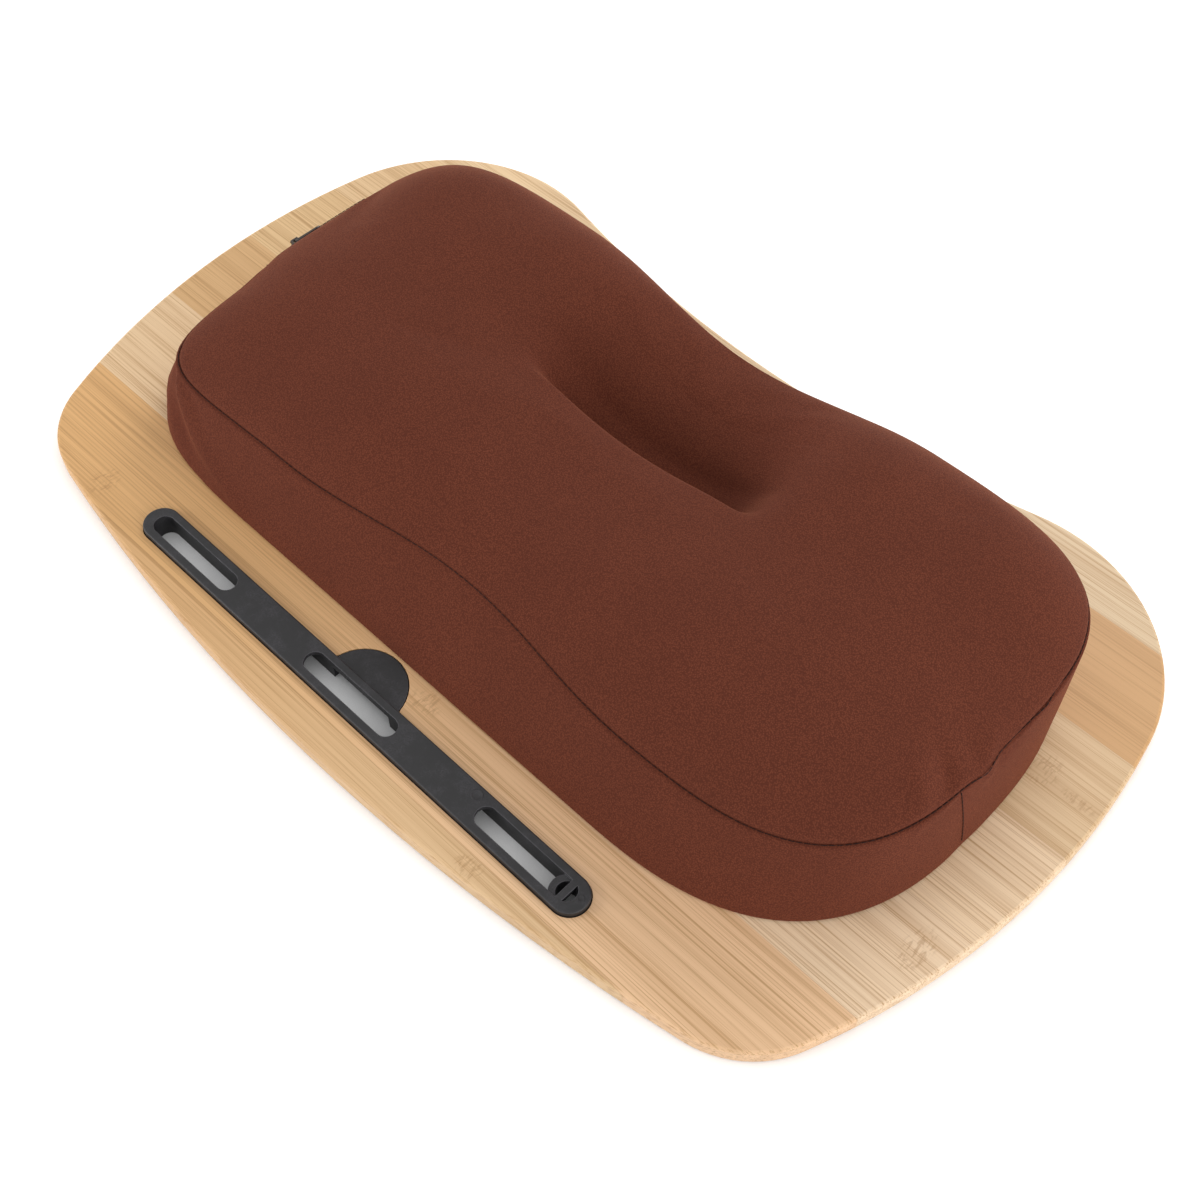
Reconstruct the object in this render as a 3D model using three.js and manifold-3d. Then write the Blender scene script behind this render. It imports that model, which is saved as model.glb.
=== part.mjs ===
// Lap desk: a bamboo board with a moulded media slot, and a soft zipped pad held on by hook and loop.
// Millimetres. It lies upside down, with the work face on z = 0 and the pad up.
// +X runs along the board and +Y points to the edge that is hollowed for the user's body.
import * as THREE from 'three';
import { mergeVertices } from 'three/addons/utils/BufferGeometryUtils.js';
import Module from 'manifold-3d';

const wasm = await Module();
wasm.setup();

// Board outline: four large arcs with rounded corners between them
const BOARD_LENGTH = 550;
const BOARD_THICKNESS = 10;
const OUTER_EDGE_TO_WIDEST = 191.3;
const USER_EDGE_TO_WIDEST = 123.4;
const OUTER_ARC_RADIUS = 1093;
const SIDE_ARC_RADIUS = 367;
const USER_HOLLOW_RADIUS = 656;
const OUTER_CORNER_RADIUS = 52;
const USER_CORNER_RADIUS = 90.5;
const EDGE_ROUNDING = 1.5;

// Planks: edge-glued strips along X, the first one ripped narrow at the outer edge
const PLANK_WIDTH = 58;
const FIRST_PLANK_WIDTH = 15.2;
const NARROWEST_PLANK = 6;
const GLUE_LINE = 0.06;

// Media slot insert, a black moulding let into the board from the work face
const INSERT_LENGTH = 297;
const INSERT_WIDTH = 18.6;
const INSERT_PROUD = 3;
const INSERT_ROUNDING = 0.8;
const INSERT_FROM_OUTER_EDGE = 30.6;
const INSERT_OFFSET_X = -3.4;
const INSERT_CLEARANCE = 0.5;
const INSERT_FLANGE_WIDTH = 2.5;
const INSERT_FLANGE_THICKNESS = 2;
const SLOT_WIDTH = 10.5;
const SLOT_LENGTH = 58.6;
const MIDDLE_SLOT_LENGTH = 59.5;
const SLOT_END_WALL = 6.1;
const GROOVE_FLOOR = 2.2;
const POCKET_OUTER_RADIUS = 21.2;
const POCKET_CENTRE_Y = 6.4;
const POCKET_WALL = 2;
const POCKET_ROOF = 1.8;
const POCKET_ROOT_FILLET = 2;
const PEN_HOLE_DIAMETER = 9.6;
const PEN_HOLE_FROM_END = 10.9;
const PEN_BOSS_WALL = 3.2;
const PEN_BOSS_DROP = 1;
const PEN_BAR_WIDTH = 3.3;
const PEN_BAR_THICKNESS = 2.5;
const ROOT_OVERLAP = 1;

// Hook and loop strips
const STRIP_LENGTH = 90;
const STRIP_WIDTH = 20;
const HOOK_THICKNESS = 1.3;
const LOOP_THICKNESS = 1.3;
const STRIP_SPACING_X = 250;
const STRIP_SPACING_Y = 110;

// Pad plan at its base
const PAD_LENGTH = 470;
const PAD_DEPTH = 233.4;
const PAD_RUN = 220;
const PAD_OFFSET_X = 4.3;
const PAD_TO_INSERT = 19.3;
const BASE_USER_WAIST = 10;
const BASE_SQUARENESS = 2.5;
const BASE_CORNER_SQUARENESS = 2.9;
const ZIP_END_SQUARENESS = 5;

// Pad seam line, where the top panel meets the side band
const SEAM_HEIGHT = 41.4;
const SEAM_END_INSET = 10.7;
const SEAM_SIDE_INSET = 10.1;
const SEAM_SHIFT_X = 5.4;
const SEAM_SHIFT_Y = 9.8;
const SEAM_RISE_X = 5;
const SEAM_WAIST_DROP = 9;
const SEAM_OUTER_WAIST = 11.3;
const SEAM_USER_WAIST = 9.7;
const SEAM_SQUARENESS = 3;
const SEAM_ZIP_SQUARENESS = 4.2;
const BAND_BULGE = 3;

// Pad crown and the tied-down dimple
const LOBE_CROWN = 22;
const WAIST_CROWN = 6;
const CROWN_POWER = 2.5;
const DIMPLE_DEPTH = 28;
const DIMPLE_Y = 33;
const DIMPLE_HALF_LENGTH = 58;
const DIMPLE_STEEP_SIDE = 12;
const DIMPLE_GENTLE_SIDE = 45;

// Cover fabric and what is sewn inside it
const FABRIC = 1;
const SEWN_GAP = 0.3;
const TIE_LENGTH = 60;
const TIE_THICKNESS = 1.2;
const BAND_JOIN_DEPTH = 0.13;

// Zip on the left end of the band
const ZIP_START = 0.03;
const ZIP_END = 0.47;
const ZIP_EDGE_MARGIN = 3;
const ZIP_TAPE_THICKNESS = 0.6;
const COIL_WIDTH = 2;
const COIL_HEIGHT = 1.6;
const STOP_LENGTH = 2.4;
const STOP_GAP = 0.9;
const SLIDER_PARKED = 0.1;
const SLIDER_LENGTH = 9;
const SLIDER_WIDTH = 7;
const SLIDER_PLATE = 1.6;
const SLIDER_ARCH_LENGTH = 4.6;
const SLIDER_ARCH_WIDTH = 2.4;
const SLIDER_ARCH_WALL = 1.1;
const PULL_LENGTH = 17;
const PULL_WIDTH = 5;
const PULL_THICKNESS = 1.2;
const PULL_CLEARANCE = 0.35;

// How finely the curved forms are cut into facets
const FACET_SAG = 0.05;
const ARC_SEGMENTS = 20;
const RUN_STEPS = 10;
const QUADRANT_STEPS = 8;
const BAND_ROWS = 5;
const TOP_RINGS = 11;
const TOP_RING_SPACING = 1.5;
const ZIP_STEPS = 6;
const ZIP_ROWS = 4;
const CUT_MARGIN = 5;

// Finishes
const BAMBOO_TONES = [0xd0a478, 0xd9b084, 0xdab690, 0xcfa67c, 0xdcba97, 0xd6ae8b, 0xddb995];
const COVER_BROWN = new THREE.MeshStandardMaterial({ color: 0x6d3c2d, roughness: 0.85, metalness: 0 });
const PAD_WHITE = new THREE.MeshStandardMaterial({ color: 0xd8d2c8, roughness: 0.9, metalness: 0 });
const BLACK_MOULDING = new THREE.MeshStandardMaterial({ color: 0x2b2b2d, roughness: 0.55, metalness: 0 });
const BLACK_STRIP = new THREE.MeshStandardMaterial({ color: 0x1d1c1c, roughness: 0.95, metalness: 0 });
const ZIP_NYLON = new THREE.MeshStandardMaterial({ color: 0x3a211a, roughness: 0.6, metalness: 0 });
const ZIP_METAL = new THREE.MeshStandardMaterial({ color: 0x3c3836, roughness: 0.4, metalness: 0.9 });

const part = new THREE.Group();

function addNode(name, geometry, material) {
  const mesh = new THREE.Mesh(geometry, material);
  mesh.name = name;
  part.add(mesh);
  return mesh;
}

// Solids and booleans

function toSolid(geometry) {
  const bare = geometry.clone();
  bare.deleteAttribute('normal');
  bare.deleteAttribute('uv');
  const merged = mergeVertices(bare, 1e-4);
  const mesh = new wasm.Mesh({
    numProp: 3,
    vertProperties: new Float32Array(merged.attributes.position.array),
    triVerts: new Uint32Array(merged.index.array),
  });
  return new wasm.Manifold(mesh);
}

function toGeometry(solid) {
  const mesh = solid.getMesh();
  const geometry = new THREE.BufferGeometry();
  geometry.setAttribute('position', new THREE.BufferAttribute(new Float32Array(mesh.vertProperties), 3));
  geometry.setIndex(new THREE.BufferAttribute(new Uint32Array(mesh.triVerts), 1));
  geometry.computeVertexNormals();
  return geometry;
}

function extrude(shape, low, high, rounding = 0) {
  const geometry = new THREE.ExtrudeGeometry(shape, {
    depth: high - low - 2 * rounding,
    curveSegments: ARC_SEGMENTS,
    bevelEnabled: rounding > 0,
    bevelThickness: rounding,
    bevelSize: rounding,
    bevelOffset: -rounding,
    bevelSegments: 2,
  });
  geometry.translate(0, 0, low + rounding);
  return geometry;
}

function box(low, high) {
  const size = new THREE.Vector3().subVectors(high, low);
  const centre = new THREE.Vector3().addVectors(low, high).multiplyScalar(0.5);
  const geometry = new THREE.BoxGeometry(size.x, size.y, size.z);
  geometry.translate(centre.x, centre.y, centre.z);
  return geometry;
}

function stadium(centreX, length, width) {
  const radius = width / 2;
  const half = length / 2 - radius;
  const shape = new THREE.Shape();
  shape.absarc(centreX + half, 0, radius, -Math.PI / 2, Math.PI / 2, false);
  shape.absarc(centreX - half, 0, radius, Math.PI / 2, 1.5 * Math.PI, false);
  return shape;
}

function disc(x, y, radius) {
  const shape = new THREE.Shape();
  shape.absarc(x, y, radius, 0, 2 * Math.PI, false);
  return shape;
}

// Joins loose triangles into one closed geometry whose faces point outward.
function closedGeometry(triangles) {
  const positions = [];
  const known = new Map();
  const index = [];
  const indexOf = (point) => {
    const key = [point.x, point.y, point.z].map((value) => Math.round(value * 1e4)).join(' ');
    if (!known.has(key)) {
      known.set(key, positions.length / 3);
      positions.push(point.x, point.y, point.z);
    }
    return known.get(key);
  };
  let volume = 0;
  for (const [a, b, c] of triangles) {
    const corners = [indexOf(a), indexOf(b), indexOf(c)];
    if (new Set(corners).size === 3) {
      index.push(corners);
      volume += a.dot(new THREE.Vector3().crossVectors(b, c));
    }
  }
  const ordered = volume > 0 ? index : index.map(([a, b, c]) => [a, c, b]);
  const geometry = new THREE.BufferGeometry();
  geometry.setAttribute('position', new THREE.BufferAttribute(new Float32Array(positions), 3));
  geometry.setIndex(ordered.flat());
  geometry.computeVertexNormals();
  return geometry;
}

function stripBetween(lower, upper, closed) {
  const triangles = [];
  const count = closed ? lower.length : lower.length - 1;
  for (let i = 0; i < count; i += 1) {
    const next = (i + 1) % lower.length;
    triangles.push([lower[i], lower[next], upper[next]]);
    triangles.push([lower[i], upper[next], upper[i]]);
  }
  return triangles;
}

function turnedOver(triangles) {
  return triangles.map(([a, b, c]) => [a, c, b]);
}

function ringsSurface(rings) {
  return rings.slice(1).flatMap((ring, i) => stripBetween(rings[i], ring, true));
}

// A cloth patch with a thickness: outer and inner are rows of points of the same count.
function clothPatch(outer, inner) {
  const triangles = [];
  for (let r = 1; r < outer.length; r += 1) {
    triangles.push(...stripBetween(outer[r - 1], outer[r], false));
    triangles.push(...turnedOver(stripBetween(inner[r - 1], inner[r], false)));
  }
  const last = outer.length - 1;
  const end = outer[0].length - 1;
  const column = (rows, c) => rows.map((row) => row[c]);
  triangles.push(...stripBetween(inner[0], outer[0], false));
  triangles.push(...stripBetween(outer[last], inner[last], false));
  triangles.push(...stripBetween(column(outer, 0), column(inner, 0), false));
  triangles.push(...stripBetween(column(inner, end), column(outer, end), false));
  return closedGeometry(triangles);
}

// Board

// Where two circles meet, on the +X side
function circleMeeting(centreA, radiusA, centreB, radiusB) {
  const between = new THREE.Vector2().subVectors(centreB, centreA);
  const distance = between.length();
  const along = (distance ** 2 + radiusA ** 2 - radiusB ** 2) / (2 * distance);
  const aside = Math.sqrt(radiusA ** 2 - along ** 2);
  const unit = between.clone().normalize();
  const foot = centreA.clone().addScaledVector(unit, along);
  const options = [aside, -aside].map((offset) => {
    return new THREE.Vector2(foot.x - unit.y * offset, foot.y + unit.x * offset);
  });
  return options[0].x > options[1].x ? options[0] : options[1];
}

function arcPoints(centre, radius, from, to) {
  const start = Math.atan2(from.y - centre.y, from.x - centre.x);
  const stop = Math.atan2(to.y - centre.y, to.x - centre.x);
  const turn = Math.atan2(Math.sin(stop - start), Math.cos(stop - start));
  const steps = Math.max(2, Math.ceil(Math.abs(turn) / (2 * Math.acos(1 - FACET_SAG / radius))));
  return Array.from({ length: steps }, (_, i) => {
    const angle = start + (turn * i) / steps;
    return new THREE.Vector2(centre.x + radius * Math.cos(angle), centre.y + radius * Math.sin(angle));
  });
}

function tangentPoint(centre, through, radius) {
  const direction = new THREE.Vector2().subVectors(through, centre).normalize();
  return centre.clone().addScaledVector(direction, radius);
}

function boardOutline() {
  const outer = new THREE.Vector2(0, OUTER_ARC_RADIUS - OUTER_EDGE_TO_WIDEST);
  const side = new THREE.Vector2(BOARD_LENGTH / 2 - SIDE_ARC_RADIUS, 0);
  const hollow = new THREE.Vector2(0, USER_EDGE_TO_WIDEST + USER_HOLLOW_RADIUS);
  const outerCorner = circleMeeting(
    outer, OUTER_ARC_RADIUS - OUTER_CORNER_RADIUS, side, SIDE_ARC_RADIUS - OUTER_CORNER_RADIUS);
  const userCorner = circleMeeting(
    hollow, USER_HOLLOW_RADIUS + USER_CORNER_RADIUS, side, SIDE_ARC_RADIUS - USER_CORNER_RADIUS);
  const outerMiddle = new THREE.Vector2(0, -OUTER_EDGE_TO_WIDEST);
  const userMiddle = new THREE.Vector2(0, USER_EDGE_TO_WIDEST);
  const outerToCorner = tangentPoint(outer, outerCorner, OUTER_ARC_RADIUS);
  const cornerToSide = tangentPoint(side, outerCorner, SIDE_ARC_RADIUS);
  const sideToCorner = tangentPoint(side, userCorner, SIDE_ARC_RADIUS);
  const cornerToHollow = tangentPoint(hollow, userCorner, USER_HOLLOW_RADIUS);
  const right = [
    ...arcPoints(outer, OUTER_ARC_RADIUS, outerMiddle, outerToCorner),
    ...arcPoints(outerCorner, OUTER_CORNER_RADIUS, outerToCorner, cornerToSide),
    ...arcPoints(side, SIDE_ARC_RADIUS, cornerToSide, sideToCorner),
    ...arcPoints(userCorner, USER_CORNER_RADIUS, sideToCorner, cornerToHollow),
    ...arcPoints(hollow, USER_HOLLOW_RADIUS, cornerToHollow, userMiddle),
    userMiddle,
  ];
  const left = right.slice(1, -1).reverse().map((point) => new THREE.Vector2(-point.x, point.y));
  const points = [...right, ...left];
  const reach = points.map((point) => point.y);
  const middle = (Math.min(...reach) + Math.max(...reach)) / 2;
  return points.map((point) => new THREE.Vector2(point.x, point.y - middle));
}

const outlinePoints = boardOutline();
const outerEdgeY = Math.min(...outlinePoints.map((point) => point.y));
const userEdgeY = Math.max(...outlinePoints.map((point) => point.y));
const insertY = outerEdgeY + INSERT_FROM_OUTER_EDGE;

// The user's side of the insert, in its own frame
const userHalf = toSolid(box(
  new THREE.Vector3(-INSERT_LENGTH, 0, -2 * BOARD_THICKNESS),
  new THREE.Vector3(INSERT_LENGTH, INSERT_LENGTH, 3 * BOARD_THICKNESS)));

// Outside of the insert in its own frame: a strip with a half-disc pocket on its user side
function insertOutside(grow, low, stripTop, pocketTop, rounding = 0) {
  const length = INSERT_LENGTH + 2 * grow;
  const width = INSERT_WIDTH + 2 * grow;
  let body = toSolid(extrude(stadium(0, length, width), low, stripTop, rounding));
  const pocket = toSolid(extrude(disc(0, POCKET_CENTRE_Y, POCKET_OUTER_RADIUS + grow), low, pocketTop));
  body = body.add(pocket.intersect(userHalf));
  const fillet = POCKET_ROOT_FILLET - grow;
  if (fillet > 0) {
    const centreY = width / 2 + fillet;
    const reach = POCKET_OUTER_RADIUS + grow + fillet;
    const centreX = Math.sqrt(reach ** 2 - (centreY - POCKET_CENTRE_Y) ** 2);
    for (const side of [-1, 1]) {
      const corner = new THREE.Shape([
        new THREE.Vector2(side * centreX, width / 2 - fillet),
        new THREE.Vector2(side * centreX, centreY),
        new THREE.Vector2(0, POCKET_CENTRE_Y),
      ]);
      const web = toSolid(extrude(corner, low, pocketTop));
      const hollow = extrude(disc(side * centreX, centreY, fillet), low - CUT_MARGIN, pocketTop + CUT_MARGIN);
      body = body.add(web.subtract(toSolid(hollow)));
    }
  }
  return body;
}

const insertTop = BOARD_THICKNESS + INSERT_PROUD;

function buildPlanks() {
  const above = BOARD_THICKNESS + CUT_MARGIN;
  const blank = toSolid(extrude(new THREE.Shape(outlinePoints), 0, BOARD_THICKNESS, EDGE_ROUNDING));
  const through = insertOutside(INSERT_CLEARANCE, -CUT_MARGIN, above, above);
  const rebateGrow = INSERT_FLANGE_WIDTH + INSERT_CLEARANCE;
  const rebate = insertOutside(rebateGrow, -CUT_MARGIN, INSERT_FLANGE_THICKNESS, INSERT_FLANGE_THICKNESS);
  const opening = through.add(rebate);
  const placed = toGeometry(opening);
  placed.translate(INSERT_OFFSET_X, insertY, 0);
  const board = blank.subtract(toSolid(placed));

  const glueLines = [];
  for (let y = outerEdgeY + FIRST_PLANK_WIDTH; y < userEdgeY - NARROWEST_PLANK; y += PLANK_WIDTH) {
    glueLines.push(y);
  }
  const edges = [outerEdgeY - CUT_MARGIN, ...glueLines, userEdgeY + CUT_MARGIN];
  for (let i = 1; i < edges.length; i += 1) {
    const low = new THREE.Vector3(-BOARD_LENGTH, edges[i - 1] + GLUE_LINE / 2, -CUT_MARGIN);
    const high = new THREE.Vector3(BOARD_LENGTH, edges[i] - GLUE_LINE / 2, above);
    const plank = board.intersect(toSolid(box(low, high)));
    const tone = BAMBOO_TONES[(i - 1) % BAMBOO_TONES.length];
    const bamboo = new THREE.MeshStandardMaterial({ color: tone, roughness: 0.5, metalness: 0 });
    addNode(`bamboo_plank_${i}`, toGeometry(plank), bamboo);
  }
}

// Insert: the groove for a tablet opens to the work face, and three slots go right through it.
function buildInsert() {
  let body = insertOutside(0, 0, insertTop, BOARD_THICKNESS, INSERT_ROUNDING);
  body = body.add(insertOutside(INSERT_FLANGE_WIDTH, 0, INSERT_FLANGE_THICKNESS, INSERT_FLANGE_THICKNESS));

  const slotEnd = INSERT_LENGTH / 2 - SLOT_END_WALL;
  const slotCentre = slotEnd - SLOT_LENGTH / 2;
  const below = -CUT_MARGIN;
  const above = insertTop + CUT_MARGIN;
  const cuts = [
    extrude(stadium(0, 2 * slotEnd, SLOT_WIDTH), below, insertTop - GROOVE_FLOOR),
    extrude(stadium(-slotCentre, SLOT_LENGTH, SLOT_WIDTH), below, above),
    extrude(stadium(0, MIDDLE_SLOT_LENGTH, SLOT_WIDTH), below, above),
    extrude(stadium(slotCentre, SLOT_LENGTH, SLOT_WIDTH), below, above),
  ];
  for (const cut of cuts) {
    body = body.subtract(toSolid(cut));
  }

  const pocketRadius = POCKET_OUTER_RADIUS - POCKET_WALL;
  const pocket = toSolid(extrude(disc(0, POCKET_CENTRE_Y, pocketRadius), below, BOARD_THICKNESS - POCKET_ROOF));
  body = body.subtract(pocket.intersect(userHalf));

  const penX = INSERT_LENGTH / 2 - PEN_HOLE_FROM_END;
  const bossRadius = PEN_HOLE_DIAMETER / 2 + PEN_BOSS_WALL;
  const bossTop = insertTop - PEN_BOSS_DROP;
  const rooted = stadium(slotCentre, SLOT_LENGTH + 2 * ROOT_OVERLAP, SLOT_WIDTH + 2 * ROOT_OVERLAP);
  const boss = toSolid(extrude(disc(penX, 0, bossRadius), 0, bossTop));
  body = body.add(boss.intersect(toSolid(extrude(rooted, 0, bossTop))));
  body = body.subtract(toSolid(extrude(disc(penX, 0, PEN_HOLE_DIAMETER / 2), below, above)));
  const barReach = SLOT_WIDTH / 2 + ROOT_OVERLAP;
  const bar = box(
    new THREE.Vector3(penX - PEN_BAR_WIDTH / 2, -barReach, insertTop - PEN_BAR_THICKNESS),
    new THREE.Vector3(penX + PEN_BAR_WIDTH / 2, barReach, insertTop));
  body = body.add(toSolid(bar));

  const mesh = addNode('media_slot_insert', toGeometry(body), BLACK_MOULDING);
  mesh.position.set(INSERT_OFFSET_X, insertY, 0);
}

// Pad: every piece of it follows the same plan, band and crown

const padBase = BOARD_THICKNESS + HOOK_THICKNESS + LOOP_THICKNESS;
const padRun = PAD_RUN / 2;
const padCentre = new THREE.Vector2(
  PAD_OFFSET_X, insertY + INSERT_WIDTH / 2 + PAD_TO_INSERT + PAD_DEPTH / 2);
const seamCentre = new THREE.Vector2(padCentre.x + SEAM_SHIFT_X, padCentre.y + SEAM_SHIFT_Y);
const panelStack = FABRIC + SEWN_GAP;

const BASE_PLAN = {
  reach: (PAD_LENGTH - PAD_RUN) / 2,
  depth: PAD_DEPTH / 2,
  outerWaist: 0,
  userWaist: BASE_USER_WAIST,
  right: BASE_SQUARENESS,
  leftOuter: BASE_CORNER_SQUARENESS,
  leftUser: ZIP_END_SQUARENESS,
};
const SEAM_PLAN = {
  reach: (PAD_LENGTH - PAD_RUN) / 2 - SEAM_END_INSET,
  depth: PAD_DEPTH / 2 - SEAM_SIDE_INSET,
  outerWaist: SEAM_OUTER_WAIST,
  userWaist: SEAM_USER_WAIST,
  right: SEAM_SQUARENESS,
  leftOuter: SEAM_ZIP_SQUARENESS,
  leftUser: SEAM_ZIP_SQUARENESS,
};

// 1 at the middle of the pad, falling to 0 where the round ends begin
function waist(x) {
  return (1 + Math.cos(Math.PI * Math.min(1, Math.abs(x) / padRun))) / 2;
}

function squareness(plan, cos, sin) {
  if (cos >= 0) {
    return plan.right;
  }
  return sin < 0 ? plan.leftOuter : plan.leftUser;
}

// A place on the ring: a point of the straight run, or a direction round one of the ends
function planPoint(plan, place) {
  const power = 2 / squareness(plan, place.cos, place.sin);
  const x = place.run + plan.reach * Math.sign(place.cos) * Math.abs(place.cos) ** power;
  const side = plan.depth * Math.sign(place.sin) * Math.abs(place.sin) ** power;
  const drawnIn = place.sin < 0 ? plan.outerWaist : -plan.userWaist;
  return new THREE.Vector2(x, side + drawnIn * waist(place.run));
}

function endPlace(angle) {
  const cos = Math.cos(angle);
  return { run: padRun * Math.sign(cos), cos, sin: Math.sin(angle) };
}

// A place round an end, given as a share of the base's half depth
function endPlaceAtDepth(side, share) {
  const sin = Math.sign(share) * Math.abs(share) ** (squareness(BASE_PLAN, side, share) / 2);
  return { run: padRun * side, cos: side * Math.sqrt(1 - sin ** 2), sin };
}

function quadrant(from, to) {
  return Array.from({ length: QUADRANT_STEPS }, (_, i) => {
    return endPlace(from + ((to - from) * i) / QUADRANT_STEPS);
  });
}

function straightRun(from, sin) {
  return Array.from({ length: RUN_STEPS }, (_, i) => {
    return { run: from * (1 - (2 * i) / RUN_STEPS), cos: 0, sin };
  });
}

const joinAngle = Math.asin(endPlaceAtDepth(1, -BAND_JOIN_DEPTH).sin);
const outerPlaces = [
  ...quadrant(Math.PI, 1.5 * Math.PI - 1e-6),
  ...straightRun(-padRun, -1),
  ...quadrant(-Math.PI / 2 + 1e-6, joinAngle),
];
const userPlaces = [
  ...quadrant(joinAngle, Math.PI / 2 - 1e-6),
  ...straightRun(padRun, 1),
  ...quadrant(Math.PI / 2 + 1e-6, Math.PI),
];
const ringPlaces = [...outerPlaces, ...userPlaces];

function seamPoint(place) {
  return planPoint(SEAM_PLAN, place);
}

function outwardAt(place) {
  const step = 1e-3;
  const turn = (angle) => {
    return { run: place.run, cos: Math.cos(angle), sin: Math.sin(angle) };
  };
  if (place.cos === 0) {
    const ahead = seamPoint({ ...place, run: place.run + step });
    const behind = seamPoint({ ...place, run: place.run - step });
    const along = ahead.sub(behind).normalize().multiplyScalar(place.sin);
    return new THREE.Vector2(-along.y, along.x);
  }
  const angle = Math.atan2(place.sin, place.cos);
  const along = seamPoint(turn(angle + step)).sub(seamPoint(turn(angle - step))).normalize();
  return new THREE.Vector2(along.y, -along.x);
}

// How far out a point of the top lies: 0 on the pad's middle line and 1 on the seam
function shareOut(x, y) {
  const drawnIn = y < 0 ? SEAM_PLAN.outerWaist : SEAM_PLAN.userWaist;
  const across = Math.abs(y) / (SEAM_PLAN.depth - drawnIn * waist(x));
  const past = Math.max(0, Math.abs(x) - padRun) / SEAM_PLAN.reach;
  const power = squareness(SEAM_PLAN, x, y);
  return (across ** power + past ** power) ** (1 / power);
}

function dimple(x, y) {
  const lengthways = Math.exp(-((x / DIMPLE_HALF_LENGTH) ** 4));
  const width = y < DIMPLE_Y ? DIMPLE_STEEP_SIDE : DIMPLE_GENTLE_SIDE;
  return lengthways * Math.exp(-(((y - DIMPLE_Y) / width) ** 2));
}

// Height of the top panel's outer face, from the seam's centre
function topHeight(x, y) {
  const out = Math.min(1, shareOut(x, y));
  const userSide = Math.max(0, y) / SEAM_PLAN.depth;
  const tilt = (SEAM_RISE_X * x) / (PAD_LENGTH / 2) - SEAM_WAIST_DROP * waist(x) * userSide;
  const crown = WAIST_CROWN + (LOBE_CROWN - WAIST_CROWN) * (1 - waist(x));
  const hollow = DIMPLE_DEPTH * dimple(x, y) * (1 - out ** 4);
  return padBase + SEAM_HEIGHT + tilt + crown * (1 - out ** CROWN_POWER) - hollow;
}

// A point of the side band: share runs from 0 at the base to 1 under the top panel
function bandPoint(place, share, inset) {
  const low = planPoint(BASE_PLAN, place).add(padCentre);
  const seam = seamPoint(place);
  const high = seam.clone().add(seamCentre);
  const outward = outwardAt(place);
  const swell = 4 * BAND_BULGE * share * (1 - share) - inset;
  const plan = low.lerp(high, share).addScaledVector(outward, swell);
  const top = topHeight(seam.x, seam.y) - panelStack;
  return new THREE.Vector3(plan.x, plan.y, padBase + (top - padBase) * share);
}

// Rings of the top from the seam in to the dimple's line, lowered by drop
function topRings(drop, inset) {
  const rings = [];
  for (let r = TOP_RINGS; r >= 0; r -= 1) {
    const share = (r / TOP_RINGS) ** TOP_RING_SPACING;
    rings.push(ringPlaces.map((place) => {
      const middle = new THREE.Vector2(place.run, DIMPLE_Y);
      const spot = middle.lerp(seamPoint(place), share);
      const height = topHeight(spot.x, spot.y) - drop;
      if (r === TOP_RINGS) {
        spot.addScaledVector(outwardAt(place), -inset);
      }
      spot.add(seamCentre);
      return new THREE.Vector3(spot.x, spot.y, height);
    }));
  }
  return rings;
}

function bandRows(places, inset) {
  return Array.from({ length: BAND_ROWS }, (_, r) => {
    return places.map((place) => bandPoint(place, r / (BAND_ROWS - 1), inset));
  });
}

function buildTopPanel() {
  const outer = topRings(0, 0);
  const inner = topRings(FABRIC, 0);
  const triangles = [
    ...ringsSurface(outer),
    ...turnedOver(ringsSurface(inner)),
    ...stripBetween(inner[0], outer[0], true),
  ];
  addNode('cover_top_panel', closedGeometry(triangles), COVER_BROWN);
}

function buildSideBands() {
  const shareGap = SEWN_GAP / PAD_DEPTH;
  const leftOuter = endPlaceAtDepth(-1, -shareGap);
  const leftUser = endPlaceAtDepth(-1, shareGap);
  const rightOuter = endPlaceAtDepth(1, -BAND_JOIN_DEPTH - shareGap);
  const rightUser = endPlaceAtDepth(1, -BAND_JOIN_DEPTH + shareGap);
  const outerBand = [leftOuter, ...outerPlaces.slice(1), rightOuter];
  const userBand = [rightUser, ...userPlaces.slice(1), leftUser];
  for (const [name, places] of [['cover_band_outer', outerBand], ['cover_band_user', userBand]]) {
    addNode(name, clothPatch(bandRows(places, 0), bandRows(places, FABRIC)), COVER_BROWN);
  }
}

// Share of the band's height at a given rise above the pad's base
function shareAt(place, rise) {
  return rise / (bandPoint(place, 1, 0).z - padBase);
}

// The base panel keeps inside the band over its whole thickness.
function buildBasePanel() {
  const points = ringPlaces.map((place) => {
    const middle = new THREE.Vector2(padCentre.x + place.run, padCentre.y);
    const [atBase, atTop] = [0, shareAt(place, FABRIC)].map((share) => {
      const point = bandPoint(place, share, panelStack);
      return new THREE.Vector2(point.x, point.y);
    });
    return atBase.distanceTo(middle) < atTop.distanceTo(middle) ? atBase : atTop;
  });
  addNode('cover_base_panel', extrude(new THREE.Shape(points), padBase, padBase + FABRIC), COVER_BROWN);
}

// The web that ties the dimple's line down to the base panel
function tieGeometry(grow, low, high) {
  const half = TIE_LENGTH / 2 + grow;
  const thick = TIE_THICKNESS / 2 + grow;
  return box(
    new THREE.Vector3(seamCentre.x - half, seamCentre.y + DIMPLE_Y - thick, low),
    new THREE.Vector3(seamCentre.x + half, seamCentre.y + DIMPLE_Y + thick, high));
}

const tieLow = padBase + panelStack;
const tieHigh = topHeight(0, DIMPLE_Y) - panelStack;

function buildTie() {
  addNode('dimple_tie_web', tieGeometry(0, tieLow, tieHigh), BLACK_STRIP);
}

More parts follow.
